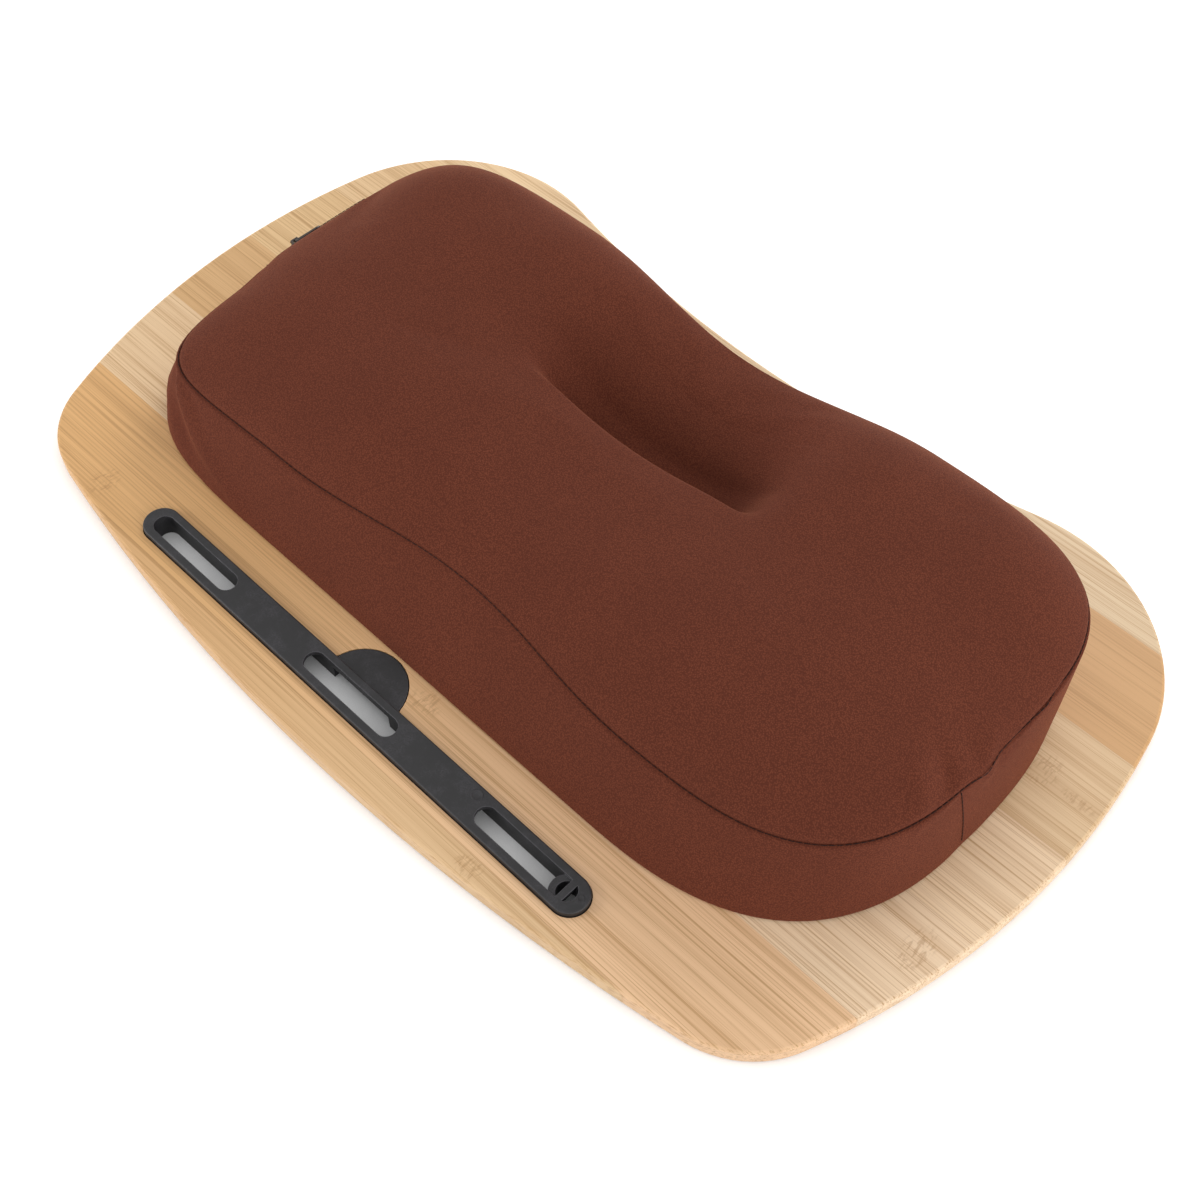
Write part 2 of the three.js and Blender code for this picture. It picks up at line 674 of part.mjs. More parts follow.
function buildInnerPad() {
  const floor = padBase + panelStack;
  const rows = bandRows(ringPlaces, panelStack);
  rows[0] = ringPlaces.map((place) => bandPoint(place, shareAt(place, panelStack), panelStack));
  const middle = ringPlaces.map((place) => {
    return new THREE.Vector3(place.run + seamCentre.x, DIMPLE_Y + seamCentre.y, floor);
  });
  rows.pop();
  const rings = [middle, ...rows, ...topRings(panelStack, panelStack)];
  const body = toSolid(closedGeometry(ringsSurface(rings)));
  const slit = toSolid(tieGeometry(SEWN_GAP, floor - CUT_MARGIN, topHeight(0, 0) + LOBE_CROWN));
  addNode('inner_pad', toGeometry(body.subtract(slit)), PAD_WHITE);
}

function buildStrips() {
  let number = 1;
  for (const sideY of [-1, 1]) {
    for (const sideX of [-1, 1]) {
      const x = padCentre.x + (sideX * STRIP_SPACING_X) / 2;
      const y = padCentre.y + (sideY * STRIP_SPACING_Y) / 2;
      const hook = addNode(
        `hook_strip_${number}`, new THREE.BoxGeometry(STRIP_LENGTH, STRIP_WIDTH, HOOK_THICKNESS), BLACK_STRIP);
      hook.position.set(x, y, BOARD_THICKNESS + HOOK_THICKNESS / 2);
      const loop = addNode(
        `loop_strip_${number}`, new THREE.BoxGeometry(STRIP_LENGTH, STRIP_WIDTH, LOOP_THICKNESS), BLACK_STRIP);
      loop.position.set(x, y, padBase - LOOP_THICKNESS / 2);
      number += 1;
    }
  }
}

// Zip: it lies on the band's left end, and its rows follow the band's surface

function zipPlace(share) {
  return endPlaceAtDepth(-1, share);
}

function bandSlant(share) {
  const place = zipPlace(share);
  return bandPoint(place, 1, 0).distanceTo(bandPoint(place, 0, 0));
}

// A strip of the zip between two distances from its middle line, standing off the band
function zipStrip(from, to, low, high) {
  const layer = (standOff) => Array.from({ length: ZIP_ROWS + 1 }, (_, r) => {
    return Array.from({ length: ZIP_STEPS + 1 }, (_, i) => {
      const share = THREE.MathUtils.lerp(ZIP_START, ZIP_END, i / ZIP_STEPS);
      const offset = THREE.MathUtils.lerp(from(share), to(share), r / ZIP_ROWS);
      return bandPoint(zipPlace(share), 0.5 + offset / bandSlant(share), -standOff);
    });
  });
  return clothPatch(layer(high), layer(low));
}

const parked = zipPlace(SLIDER_PARKED);
const zipFrom = bandPoint(parked, 0.5, 0);
const zipTo = bandPoint(zipPlace(ZIP_END), 0.5, 0);
const zipAlong = new THREE.Vector3().subVectors(zipTo, zipFrom).normalize();
const zipSlant = new THREE.Vector3().subVectors(bandPoint(parked, 1, 0), bandPoint(parked, 0, 0));
const zipUp = zipSlant.addScaledVector(zipAlong, -zipSlant.dot(zipAlong)).normalize();
const zipOut = new THREE.Vector3().crossVectors(zipUp, zipAlong);
const zipAcross = new THREE.Vector3().crossVectors(zipOut, zipAlong);
const zipTurn = new THREE.Quaternion().setFromRotationMatrix(
  new THREE.Matrix4().makeBasis(zipAlong, zipAcross, zipOut));

function placeOnZip(mesh, point, standOff) {
  mesh.quaternion.copy(zipTurn);
  mesh.position.copy(point).addScaledVector(zipOut, standOff);
}

function buildZip() {
  const half = (share) => bandSlant(share) / 2 - ZIP_EDGE_MARGIN;
  const coilEdge = COIL_WIDTH + SEWN_GAP / 2;
  const tapeEdge = coilEdge + SEWN_GAP;
  const tapeTop = SEWN_GAP + ZIP_TAPE_THICKNESS;
  const coilTop = SEWN_GAP + COIL_HEIGHT;
  const at = (value) => () => value;
  addNode('zip_tape_lower', zipStrip((s) => -half(s), at(-tapeEdge), SEWN_GAP, tapeTop), COVER_BROWN);
  addNode('zip_tape_upper', zipStrip(at(tapeEdge), half, SEWN_GAP, tapeTop), COVER_BROWN);
  addNode('zip_coil_lower', zipStrip(at(-coilEdge), at(-SEWN_GAP / 2), SEWN_GAP, coilTop), ZIP_NYLON);
  addNode('zip_coil_upper', zipStrip(at(SEWN_GAP / 2), at(coilEdge), SEWN_GAP, coilTop), ZIP_NYLON);

  const stopWidth = 2 * coilEdge;
  const stopReach = STOP_LENGTH / 2 + STOP_GAP;
  for (const [name, share, side] of [['zip_stop_closed', ZIP_START, -1], ['zip_stop_open', ZIP_END, 1]]) {
    const stop = addNode(name, new THREE.BoxGeometry(STOP_LENGTH, stopWidth, COIL_HEIGHT), ZIP_METAL);
    const point = bandPoint(zipPlace(share), 0.5, 0).addScaledVector(zipAlong, side * stopReach);
    placeOnZip(stop, point, SEWN_GAP + COIL_HEIGHT / 2);
  }
}

const sliderFloor = 2 * SEWN_GAP + COIL_HEIGHT;
const archHole = PULL_THICKNESS + 2 * PULL_CLEARANCE;

// Slider with an arch for the pull, in the zip's own frame: x along, y across, z out of the band
function buildSlider() {
  let body = toSolid(box(
    new THREE.Vector3(-SLIDER_LENGTH / 2, -SLIDER_WIDTH / 2, 0),
    new THREE.Vector3(SLIDER_LENGTH / 2, SLIDER_WIDTH / 2, SLIDER_PLATE)));
  const archTop = SLIDER_PLATE + archHole + SLIDER_ARCH_WALL;
  const arch = box(
    new THREE.Vector3(-SLIDER_ARCH_LENGTH / 2, -SLIDER_ARCH_WIDTH / 2, 0),
    new THREE.Vector3(SLIDER_ARCH_LENGTH / 2, SLIDER_ARCH_WIDTH / 2, archTop));
  const holeHalf = SLIDER_ARCH_LENGTH / 2 - SLIDER_ARCH_WALL;
  const hole = box(
    new THREE.Vector3(-holeHalf, -SLIDER_WIDTH, SLIDER_PLATE),
    new THREE.Vector3(holeHalf, SLIDER_WIDTH, SLIDER_PLATE + archHole));
  body = body.add(toSolid(arch)).subtract(toSolid(hole));
  const slider = addNode('zip_slider', toGeometry(body), ZIP_METAL);
  placeOnZip(slider, zipFrom, sliderFloor);
}

// Pull: a tab whose cross bar lies in the slider's arch
function buildPull() {
  const barHalf = PULL_THICKNESS / 2;
  const windowHalf = SLIDER_ARCH_WIDTH / 2 + PULL_CLEARANCE;
  const archCorner = Math.hypot(SLIDER_ARCH_LENGTH / 2, archHole / 2 + SLIDER_ARCH_WALL);
  const windowEnd = archCorner + PULL_CLEARANCE;
  const outline = new THREE.Shape();
  outline.moveTo(-barHalf, -PULL_WIDTH / 2);
  outline.lineTo(PULL_LENGTH - PULL_WIDTH / 2, -PULL_WIDTH / 2);
  outline.absarc(PULL_LENGTH - PULL_WIDTH / 2, 0, PULL_WIDTH / 2, -Math.PI / 2, Math.PI / 2, false);
  outline.lineTo(-barHalf, PULL_WIDTH / 2);
  const window = new THREE.Path();
  window.moveTo(barHalf, -windowHalf);
  window.lineTo(windowEnd, -windowHalf);
  window.lineTo(windowEnd, windowHalf);
  window.lineTo(barHalf, windowHalf);
  outline.holes.push(window);
  const pull = addNode('zip_pull', extrude(outline, -PULL_THICKNESS / 2, PULL_THICKNESS / 2), ZIP_METAL);
  placeOnZip(pull, zipFrom, sliderFloor + SLIDER_PLATE + archHole / 2);
}

buildPlanks();
buildInsert();
buildStrips();
buildBasePanel();
buildSideBands();
buildTopPanel();
buildTie();
buildInnerPad();
buildZip();
buildSlider();
buildPull();

export default part;
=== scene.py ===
import math
from bisect import bisect_left
from collections import namedtuple

import bmesh
import bpy
from bpy.props import FloatProperty, FloatVectorProperty, IntProperty, PointerProperty
from mathutils import Matrix, Vector
from mathutils.kdtree import KDTree


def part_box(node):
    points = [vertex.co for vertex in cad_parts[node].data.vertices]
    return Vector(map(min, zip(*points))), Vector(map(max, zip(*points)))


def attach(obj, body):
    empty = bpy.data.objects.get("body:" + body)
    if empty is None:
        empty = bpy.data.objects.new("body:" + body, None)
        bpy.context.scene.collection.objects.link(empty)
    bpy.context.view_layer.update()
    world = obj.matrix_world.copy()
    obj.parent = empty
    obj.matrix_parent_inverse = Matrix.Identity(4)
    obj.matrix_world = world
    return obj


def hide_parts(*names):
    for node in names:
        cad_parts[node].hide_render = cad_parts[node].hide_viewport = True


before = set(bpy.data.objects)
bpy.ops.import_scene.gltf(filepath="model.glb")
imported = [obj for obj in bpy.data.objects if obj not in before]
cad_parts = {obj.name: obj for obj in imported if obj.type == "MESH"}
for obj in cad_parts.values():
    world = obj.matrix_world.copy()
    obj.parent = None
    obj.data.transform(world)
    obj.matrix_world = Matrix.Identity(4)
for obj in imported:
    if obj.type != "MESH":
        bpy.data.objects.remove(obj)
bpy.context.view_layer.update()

bl_info = {
    "name": "Lap Desk",
    "version": (1, 0, 0),
    "blender": (4, 5, 0),
    "location": "View3D > Sidebar > Lap Desk",
    "description": "Dresses a bamboo lap desk with its moulded insert and zipped pad",
    "category": "Object",
}

MM = 0.001


def hex_colour(code):
    """Turns an sRGB hex value into linear red, green, blue and alpha."""
    channels = [int(code[i:i + 2], 16) / 255 for i in (0, 2, 4)]
    return tuple(c / 12.92 if c <= 0.04045 else ((c + 0.055) / 1.055) ** 2.4 for c in channels) + (1.0,)


def size_property(name, description, millimetres):
    return FloatProperty(
        name=name, description=description, default=millimetres * MM, unit="LENGTH", precision=5)


def share_property(name, description, share):
    return FloatProperty(name=name, description=description, default=share, min=0, max=1)


def angle_property(name, description, radians):
    return FloatProperty(name=name, description=description, default=radians, subtype="ANGLE")


def power_property(name, description, watts):
    return FloatProperty(name=name, description=description, default=watts, min=0, unit="POWER")


def colour_property(name, description, code):
    return FloatVectorProperty(
        name=name, description=description, default=hex_colour(code), subtype="COLOR", size=4, min=0, max=1)


class LapDeskBoard(bpy.types.PropertyGroup):
    """Bamboo board"""

    fibre_width: size_property("Fibre width", "Width of one dark fibre line", 0.8)
    fibre_length: size_property("Fibre length", "How far a fibre line runs before it fades", 170)
    streak_width: size_property("Streak width", "Width of the broader tone streaks", 5)
    streak_length: size_property("Streak length", "How far a tone streak runs", 400)
    fibre: colour_property("Fibre", "Colour of the dark fibre lines", "b68852")
    knuckle: colour_property("Knuckle", "Colour of the marks where a stem had its nodes", "a87a48")
    roughness: share_property("Roughness", "Roughness of the satin lacquer", 0.48)


class LapDeskInsert(bpy.types.PropertyGroup):
    """Black moulding"""

    colour: colour_property("Colour", "Black of the moulding", "131214")
    scuff: colour_property("Scuff", "Greyer tone where the grain is rubbed", "302e32")
    scuff_size: size_property("Scuff size", "Size of the rubbed patches", 9)
    # A light grey painted along the moulded edges and round the ejector marks, as a highlight where they
    # would catch the light
    painted_edge_highlight: colour_property("Worn edge", "Grey that rubbed edges take", "67656a")
    grain: size_property("Grain", "Size of the drawn moulded grain", 0.8)
    edge: size_property("Edge", "Radius that the eye sees on moulded edges", 0.7)
    mark_edge: size_property("Mark edge", "Radius that the eye sees on the ejector marks", 0.1)
    roughness: share_property("Roughness", "Roughness of the moulding", 0.58)


class LapDeskStrips(bpy.types.PropertyGroup):
    """Fastening strips and tie"""

    hook: colour_property("Hook", "Hook strips on the board", "262424")
    hook_spacing: size_property("Hook spacing", "Spacing of the hooks", 1.1)
    hook_height: size_property("Hook height", "How far the hooks stand out", 0.5)
    loop: colour_property("Loop", "Loop strips under the pad", "2e2b2b")
    loop_spacing: size_property("Loop spacing", "Spacing of the loops", 0.8)
    loop_height: size_property("Loop height", "How far the loops stand out", 0.3)
    web: colour_property("Web", "Woven tape that ties the trough down", "2a2626")
    web_spacing: size_property("Web spacing", "Spacing of the tie's weave", 1.2)


class LapDeskPad(bpy.types.PropertyGroup):
    """Form and cloth of the pad"""

    length: size_property("Length", "Length of the pad at its base", 470)
    depth: size_property("Depth", "Depth of the pad at its base", 233.4)
    run: size_property("Straight run", "Length of the sides between the round ends", 220)
    offset_x: size_property("Offset X", "Middle of the base along the board", 4.3)
    offset_y: size_property("Offset Y", "Middle of the base across the board", 7.66)
    shift_x: size_property("Seam shift X", "How far the seam line lies off the base along the board", 5.4)
    shift_y: size_property("Seam shift Y", "How far the seam line lies off the base towards the user", 9.8)
    seam_height: size_property("Seam height", "Height of the seam line above the base", 41.4)
    end_inset: size_property("End inset", "How far the seam line lies in from the base at the ends", 10.7)
    side_inset: size_property("Side inset", "How far the seam line lies in at the sides", 10.1)
    seam_rise: size_property("Seam rise", "How much higher the seam is at one end", 5)
    waist_drop: size_property("Waist drop", "How far the user's side sinks at the waist", 6.5)
    corner_drop: size_property("Corner drop", "How far the seam sinks at the left outer corner", 5)
    outer_waist: size_property("Outer waist", "How far the seam draws in at the waist, outer side", 11.3)
    user_waist: size_property("User waist", "How far the seam draws in at the waist, user's side", 9.7)
    base_waist: size_property("Base waist", "How far the base draws in on the user's side", 10)
    end_hollow: size_property("End hollow", "How far the left end dips in between its corners", 7)
    hollow_y: size_property("Hollow place", "Where the left end's dip lies across the pad", -50)
    bulge: size_property("Band bulge", "How far the side band swells out", 3)
    lobe_crown: size_property("Lobe crown", "Rise of the two lobes above the seam", 23)
    lobe_lift: size_property("Lobe lift", "How much fuller the left lobe is on the user's side", 17)
    right_lift: size_property("Right lobe lift", "How much fuller the right lobe is on the user's side", 11)
    waist_crown: size_property("Waist crown", "Rise of the waist above the seam, user's side", 7)
    outer_crown: size_property("Outer crown", "Rise of the waist above the seam, outer side", 13)
    dimple_depth: size_property("Dimple depth", "How far the tie pulls the top down", 30.5)
    dimple_y: size_property("Dimple place", "Where the tied line lies, from the seam's middle", 33)
    dimple_x: size_property("Dimple shift", "Where the middle of the tied line lies along the pad", 4)
    dimple_half: size_property("Dimple half length", "Half the length of the tied line", 67)
    dimple_floor: size_property("Dimple floor", "Width of the trough's floor", 16)
    dimple_steep: size_property("Dimple steep side", "Width of the wall towards the outer edge", 9)
    dimple_gentle: size_property("Dimple gentle side", "Width of the slope towards the user", 46)
    lip_half: size_property("Lip half length", "Half the length of the sharp lip over the trough", 54)
    rim_drop: size_property("Rim drop", "How far the base's rim sags towards the board", 2.1)
    seam_tuck: size_property("Seam tuck", "How deep the seam pulls the cloth in", 1.8)
    swell: size_property("Swell", "Most that a point moves when the filling presses out", 4)
    pressure: FloatProperty(name="Pressure", description="Push of the filling on the cover", default=4, min=0)
    frames: IntProperty(name="Frames", description="Steps that the filling presses for", default=20, min=1)
    knit_spacing: size_property("Knit spacing", "Spacing of the drawn knit loops", 0.7)
    tuft_size: size_property("Tuft size", "Size of the nap's tufts", 1.1)
    wear_size: size_property("Wear size", "Size of the darker patches of the knit", 38)
    knit: colour_property("Knit", "Brown of the brushed knit", "7c412d")
    knit_shade: colour_property("Knit shade", "Brown between the loops", "51261a")
    nap: colour_property("Nap", "Light that the brushed nap catches at a low angle", "c27a52")
    # The thread is real, and its dark brown is also a painted shade: along the top seam it draws the dark
    # line of the seam's valley
    thread: colour_property("Thread", "Sewing thread", "2c130c")
    thread_twist: size_property("Thread twist", "Spacing of the thread's twist", 0.8)
    stitch_pitch: size_property("Stitch pitch", "Length of one stitch with its gap", 3.2)
    stitch: size_property("Stitch", "Thickness of the thread", 0.42)


class LapDeskZip(bpy.types.PropertyGroup):
    """Zip and its runner"""

    tooth_pitch: size_property("Tooth pitch", "Spacing of the coil's turns", 1.5)
    tooth_radius: size_property("Tooth radius", "Half the thickness of the coil's wire", 0.38)
    tape: colour_property("Tape", "Woven tape", "6b3727")
    tape_weave: size_property("Tape weave", "Spacing of the tape's weave", 1.0)
    stitch_pitch: size_property("Stitch pitch", "Length of one stitch on the tapes, with its gap", 2.6)
    nylon: colour_property("Nylon", "Coil", "6a3626")
    nylon_cloud: size_property("Nylon cloud", "Size of the coil's darker patches", 2)
    metal: colour_property("Metal", "Dark lacquered metal", "4a4542")
    metal_wear: size_property("Metal wear", "Size of the worn patches of the lacquer", 2.5)
    slider_rounding: size_property("Slider rounding", "Radius of the slider's edges", 0.35)
    pull_rounding: size_property("Pull rounding", "Radius of the pull's edges", 0.2)
    pull_recess: size_property("Pull recess", "Depth of the panel sunk into the pull's faces", 0.2)


class LapDeskStage(bpy.types.PropertyGroup):
    """Camera and light"""

    azimuth: angle_property("Azimuth", "Camera's turn about the desk", 0.770)
    elevation: angle_property("Elevation", "Camera's height angle", 0.959)
    roll: angle_property("Roll", "Camera's tilt", 0.003)
    distance: size_property("Distance", "Camera to the point it looks at", 769.313)
    lens: FloatProperty(name="Lens", description="Focal length in millimetres", default=48.287, min=1)
    aim_x: size_property("Aim X", "Point that the camera looks at, along the board", 34.851)
    aim_y: size_property("Aim Y", "Point that the camera looks at, across the board", -15.77)
    back_power: power_property("Back", "Power of the back softbox", 10.0)
    side_power: power_property("Side", "Power of the right softbox", 10.0)
    fill_power: power_property("Fill", "Power of the left softbox", 12.0)
    sky: FloatProperty(name="Sky", description="Even light from all round", default=0.57, min=0)
    paper: colour_property("Paper", "Paper sweep under the desk", "e8e8e8")


# Nodes and meshes


def add_node(tree, kind, settings=None, inputs=None):
    """Adds a node with its settings. An input given as another node's output is linked, and any other value
    is set."""
    node = tree.nodes.new(kind)
    for name, value in (settings or {}).items():
        setattr(node, name, value)
    for name, value in (inputs or {}).items():
        if isinstance(value, bpy.types.NodeSocket):
            tree.links.new(value, node.inputs[name])
        else:
            node.inputs[name].default_value = value
    return node


# Setting of a colour mix, and its sockets: the share, the two colours and the result
COLOUR_MIX = {"data_type": "RGBA"}
SHARE = 0
FIRST = 6
SECOND = 7
MIXED = 2

# Setting of a value that is eased from one range to another, and its sockets
EASED = {"interpolation_type": "SMOOTHSTEP"}
VALUE = 0
FROM_LOW = 1
FROM_HIGH = 2
TO_LOW = 3
TO_HIGH = 4


def new_material(name):
    material = bpy.data.materials.new(name)
    material.use_nodes = True
    material.node_tree.nodes.clear()
    return material, material.node_tree


def scaled_coordinates(tree, spacing):
    """Object coordinates divided by a size in metres along each axis"""
    place = add_node(tree, "ShaderNodeTexCoord")
    scale = add_node(
        tree, "ShaderNodeVectorMath", {"operation": "MULTIPLY"},
        {0: place.outputs["Object"], 1: tuple(1 / size for size in spacing)})
    return scale.outputs[0]


def shaded(colour, factor):
    """A colour made darker or lighter"""
    return tuple(min(1.0, channel * factor) for channel in colour[:3]) + (1.0,)


def new_piece(name, points, faces, material, body):
    mesh = bpy.data.meshes.new(name)
    mesh.from_pydata([tuple(point) for point in points], [], faces)
    mesh.update()
    mesh.materials.append(material)
    mesh.shade_smooth()
    piece = bpy.data.objects.new(name, mesh)
    bpy.context.scene.collection.objects.link(piece)
    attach(piece, body)
    return piece


def dress(node, material):
    """Gives a node of the frame its material."""
    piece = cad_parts[node]
    piece.data.materials.clear()
    piece.data.materials.append(material)


def ring_faces(rings, sides):
    """Faces between rings of points that follow each other"""
    faces = []
    for r in range(rings - 1):
        low = r * sides
        high = low + sides
        for k in range(sides):
            after = (k + 1) % sides
            faces.append((low + k, low + after, high + after, high + k))
    return faces


def closed_faces(rings, sides):
    """Faces between rings of points, with one more over the first ring and one over the last"""
    last = (rings - 1) * sides
    return ring_faces(rings, sides) + [tuple(reversed(range(sides))), tuple(range(last, last + sides))]


def joined(parts):
    """Joins lists of points and faces into one."""
    verts = []
    faces = []
    for part_verts, part_faces in parts:
        start = len(verts)
        verts.extend(part_verts)
        faces.extend(tuple(start + index for index in face) for face in part_faces)
    return verts, faces


def running_lengths(line):
    """Length of a line of points up to each of them"""
    lengths = [0.0]
    for start, end in zip(line, line[1:]):
        lengths.append(lengths[-1] + (end - start).length)
    return lengths


# Sides of a thread or a wire, and a direction that none of them runs along, from which the sides are placed
TUBE_SIDES = 6
TUBE_UPRIGHT = Vector((0.3, 0.2, 1))


def tube(points, radii):
    """Points and faces of a closed tube along a path, with a radius at each point"""
    verts = []
    for i, point in enumerate(points):
        along = (points[min(i + 1, len(points) - 1)] - points[max(i - 1, 0)]).normalized()
        side = along.cross(TUBE_UPRIGHT).normalized()
        rise = along.cross(side)
        for k in range(TUBE_SIDES):
            turn = 2 * math.pi * k / TUBE_SIDES
            verts.append(point + (side * math.cos(turn) + rise * math.sin(turn)) * radii[i])
    return verts, closed_faces(len(points), TUBE_SIDES)


# Form of one stitch: places along its pitch, and how much of the thread's thickness it has there
STITCH_PLACES = (0.04, 0.2, 0.5, 0.8, 0.96)
STITCH_FULLNESS = (0.45, 0.9, 1.0, 0.9, 0.45)


def stitches(line, pitch, thickness):
    """Points and faces of each stitch in a row along a line"""
    lengths = running_lengths(line)

    def spot(length):
        i = max(1, bisect_left(lengths, length))
        return line[i - 1].lerp(line[i], (length - lengths[i - 1]) / (lengths[i] - lengths[i - 1]))

    count = max(1, round(lengths[-1] / pitch))
    step = lengths[-1] / count
    radii = [fullness * thickness / 2 for fullness in STITCH_FULLNESS]
    return [tube([spot((k + place) * step) for place in STITCH_PLACES], radii) for k in range(count)]


# Materials

# Half the length over which a plank's tone changes from its left to its right
TONE_CHANGE = 0.15

# Size of the specks in a node mark of the bamboo: along the board, across it and through it
KNUCKLE_SPECK = (1.6 * MM, 5 * MM, 5 * MM)


def bamboo_material(board, number, tones, knuckles):
    """Flat-pressed bamboo under satin lacquer: pinstripe fibres, soft tone streaks and a few node marks"""
    material, tree = new_material(f"Lacquered bamboo {number}")
    fibres = scaled_coordinates(tree, (board.fibre_length, board.fibre_width, board.fibre_width))
    fine = add_node(
        tree, "ShaderNodeTexNoise", inputs={"Vector": fibres, "Scale": 1.0, "Detail": 3.0, "Roughness": 0.65})
    bundles = scaled_coordinates(tree, (board.streak_length, board.streak_width, board.streak_width))
    broad = add_node(
        tree, "ShaderNodeTexNoise", inputs={"Vector": bundles, "Scale": 1.0, "Detail": 2.0, "Roughness": 0.5})
    place = add_node(tree, "ShaderNodeTexCoord")
    split = add_node(tree, "ShaderNodeSeparateXYZ", inputs={0: place.outputs["Object"]})
    lengthways = add_node(
        tree, "ShaderNodeMapRange", EASED,
        {VALUE: split.outputs["X"], FROM_LOW: -TONE_CHANGE, FROM_HIGH: TONE_CHANGE})
    tone = add_node(
        tree, "ShaderNodeMix", COLOUR_MIX,
        {SHARE: lengthways.outputs[0], FIRST: hex_colour(tones[0]), SECOND: hex_colour(tones[1])})
    streaks = add_node(
        tree, "ShaderNodeMapRange", EASED,
        {VALUE: broad.outputs[0], FROM_LOW: 0.4, FROM_HIGH: 0.75, TO_HIGH: 0.3})
    streaked = add_node(
        tree, "ShaderNodeMix", COLOUR_MIX,
        {SHARE: streaks.outputs[0], FIRST: tone.outputs[MIXED], SECOND: board.fibre})
    lines = add_node(
        tree, "ShaderNodeMapRange", EASED,
        {VALUE: fine.outputs[0], FROM_LOW: 0.46, FROM_HIGH: 0.68, TO_HIGH: 0.72})
    colour = add_node(
        tree, "ShaderNodeMix", COLOUR_MIX,
        {SHARE: lines.outputs[0], FIRST: streaked.outputs[MIXED], SECOND: board.fibre})
    for centre, reach in knuckles:
        mottle = add_node(
            tree, "ShaderNodeTexNoise", inputs={
                "Vector": scaled_coordinates(tree, KNUCKLE_SPECK),
                "Scale": 1.0, "Detail": 2.0, "Roughness": 0.6, "Distortion": 0.6})
        specks = add_node(
            tree, "ShaderNodeMapRange", EASED,
            {VALUE: mottle.outputs[0], FROM_LOW: 0.45, FROM_HIGH: 0.65, TO_HIGH: 0.42})
        away = add_node(
            tree, "ShaderNodeVectorMath", {"operation": "SUBTRACT"},
            {0: place.outputs["Object"], 1: centre})
        scale = add_node(
            tree, "ShaderNodeVectorMath", {"operation": "MULTIPLY"},
            {0: away.outputs[0], 1: tuple(1 / size for size in reach)})
        distance = add_node(tree, "ShaderNodeVectorMath", {"operation": "LENGTH"}, {0: scale.outputs[0]})
        spot = add_node(
            tree, "ShaderNodeMapRange", EASED,
            {VALUE: distance.outputs["Value"], FROM_LOW: 0.5, FROM_HIGH: 1.0, TO_LOW: 1.0, TO_HIGH: 0.0})
        marks = add_node(
            tree, "ShaderNodeMath", {"operation": "MULTIPLY"}, {0: spot.outputs[0], 1: specks.outputs[0]})
        colour = add_node(
            tree, "ShaderNodeMix", COLOUR_MIX,
            {SHARE: marks.outputs[0], FIRST: colour.outputs[MIXED], SECOND: board.knuckle})
    bump = add_node(
        tree, "ShaderNodeBump", inputs={"Height": fine.outputs[0], "Strength": 0.25, "Distance": 0.05 * MM})
    shader = add_node(
        tree, "ShaderNodeBsdfPrincipled", inputs={
            "Base Color": colour.outputs[MIXED], "Normal": bump.outputs[0], "Roughness": board.roughness,
            "IOR": 1.5, "Coat Weight": 0.05, "Coat Roughness": 0.3})
    add_node(tree, "ShaderNodeOutputMaterial", inputs={"Surface": shader.outputs[0]})
    return material


def moulding_material(name, insert, edge):
    """Black moulded ABS with a fine matt grain, greyer where it is rubbed, and soft moulded edges with a
    light grey painted along them as a highlight.
    The real grain is about 0.2 mm, too fine to show, so it is drawn at the size given."""
    material, tree = new_material(name)
    grain = add_node(
        tree, "ShaderNodeTexNoise", inputs={
            "Vector": scaled_coordinates(tree, (insert.grain,) * 3),
            "Scale": 1.0, "Detail": 4.0, "Roughness": 0.7})
    cloud = add_node(
        tree, "ShaderNodeTexNoise", inputs={
            "Vector": scaled_coordinates(tree, (insert.scuff_size,) * 3),
            "Scale": 1.0, "Detail": 3.0, "Roughness": 0.6})
    patches = add_node(
        tree, "ShaderNodeMapRange", EASED, {VALUE: cloud.outputs[0], FROM_LOW: 0.4, FROM_HIGH: 0.68})
    specks = add_node(
        tree, "ShaderNodeMapRange", EASED, {VALUE: grain.outputs[0], FROM_LOW: 0.3, FROM_HIGH: 0.7})
    rubbed = add_node(
        tree, "ShaderNodeMath", {"operation": "MULTIPLY"}, {0: patches.outputs[0], 1: specks.outputs[0]})
    grained = add_node(
        tree, "ShaderNodeMix", COLOUR_MIX,
        {SHARE: rubbed.outputs[0], FIRST: insert.colour, SECOND: insert.scuff})
    edges = add_node(tree, "ShaderNodeBevel", {"samples": 6}, {"Radius": edge})
    flat = add_node(tree, "ShaderNodeNewGeometry")
    turned_away = add_node(
        tree, "ShaderNodeVectorMath", {"operation": "DOT_PRODUCT"},
        {0: edges.outputs[0], 1: flat.outputs["Normal"]})
    # Painted highlight: the colour is mixed towards the light grey wherever the rounded edge normal turns
    # away from the flat one
    painted_edge_highlight = add_node(
        tree, "ShaderNodeMapRange", EASED,
        {VALUE: turned_away.outputs["Value"], FROM_LOW: 0.8, FROM_HIGH: 0.99, TO_LOW: 0.7, TO_HIGH: 0.0})
    colour = add_node(
        tree, "ShaderNodeMix", COLOUR_MIX,
        {SHARE: painted_edge_highlight.outputs[0], FIRST: grained.outputs[MIXED], SECOND: insert.painted_edge_highlight})
    bump = add_node(
        tree, "ShaderNodeBump", inputs={
            "Height": grain.outputs[0], "Normal": edges.outputs[0], "Strength": 0.5, "Distance": 0.12 * MM})
    shader = add_node(
        tree, "ShaderNodeBsdfPrincipled", inputs={
            "Base Color": colour.outputs[MIXED], "Normal": bump.outputs[0],
            "Roughness": insert.roughness, "IOR": 1.54})
    add_node(tree, "ShaderNodeOutputMaterial", inputs={"Surface": shader.outputs[0]})
    return material


# Turn that keeps the lattice of a fine texture from lining up with the level faces it covers
LATTICE_TILT = (0.7, 0.5, 0.3)


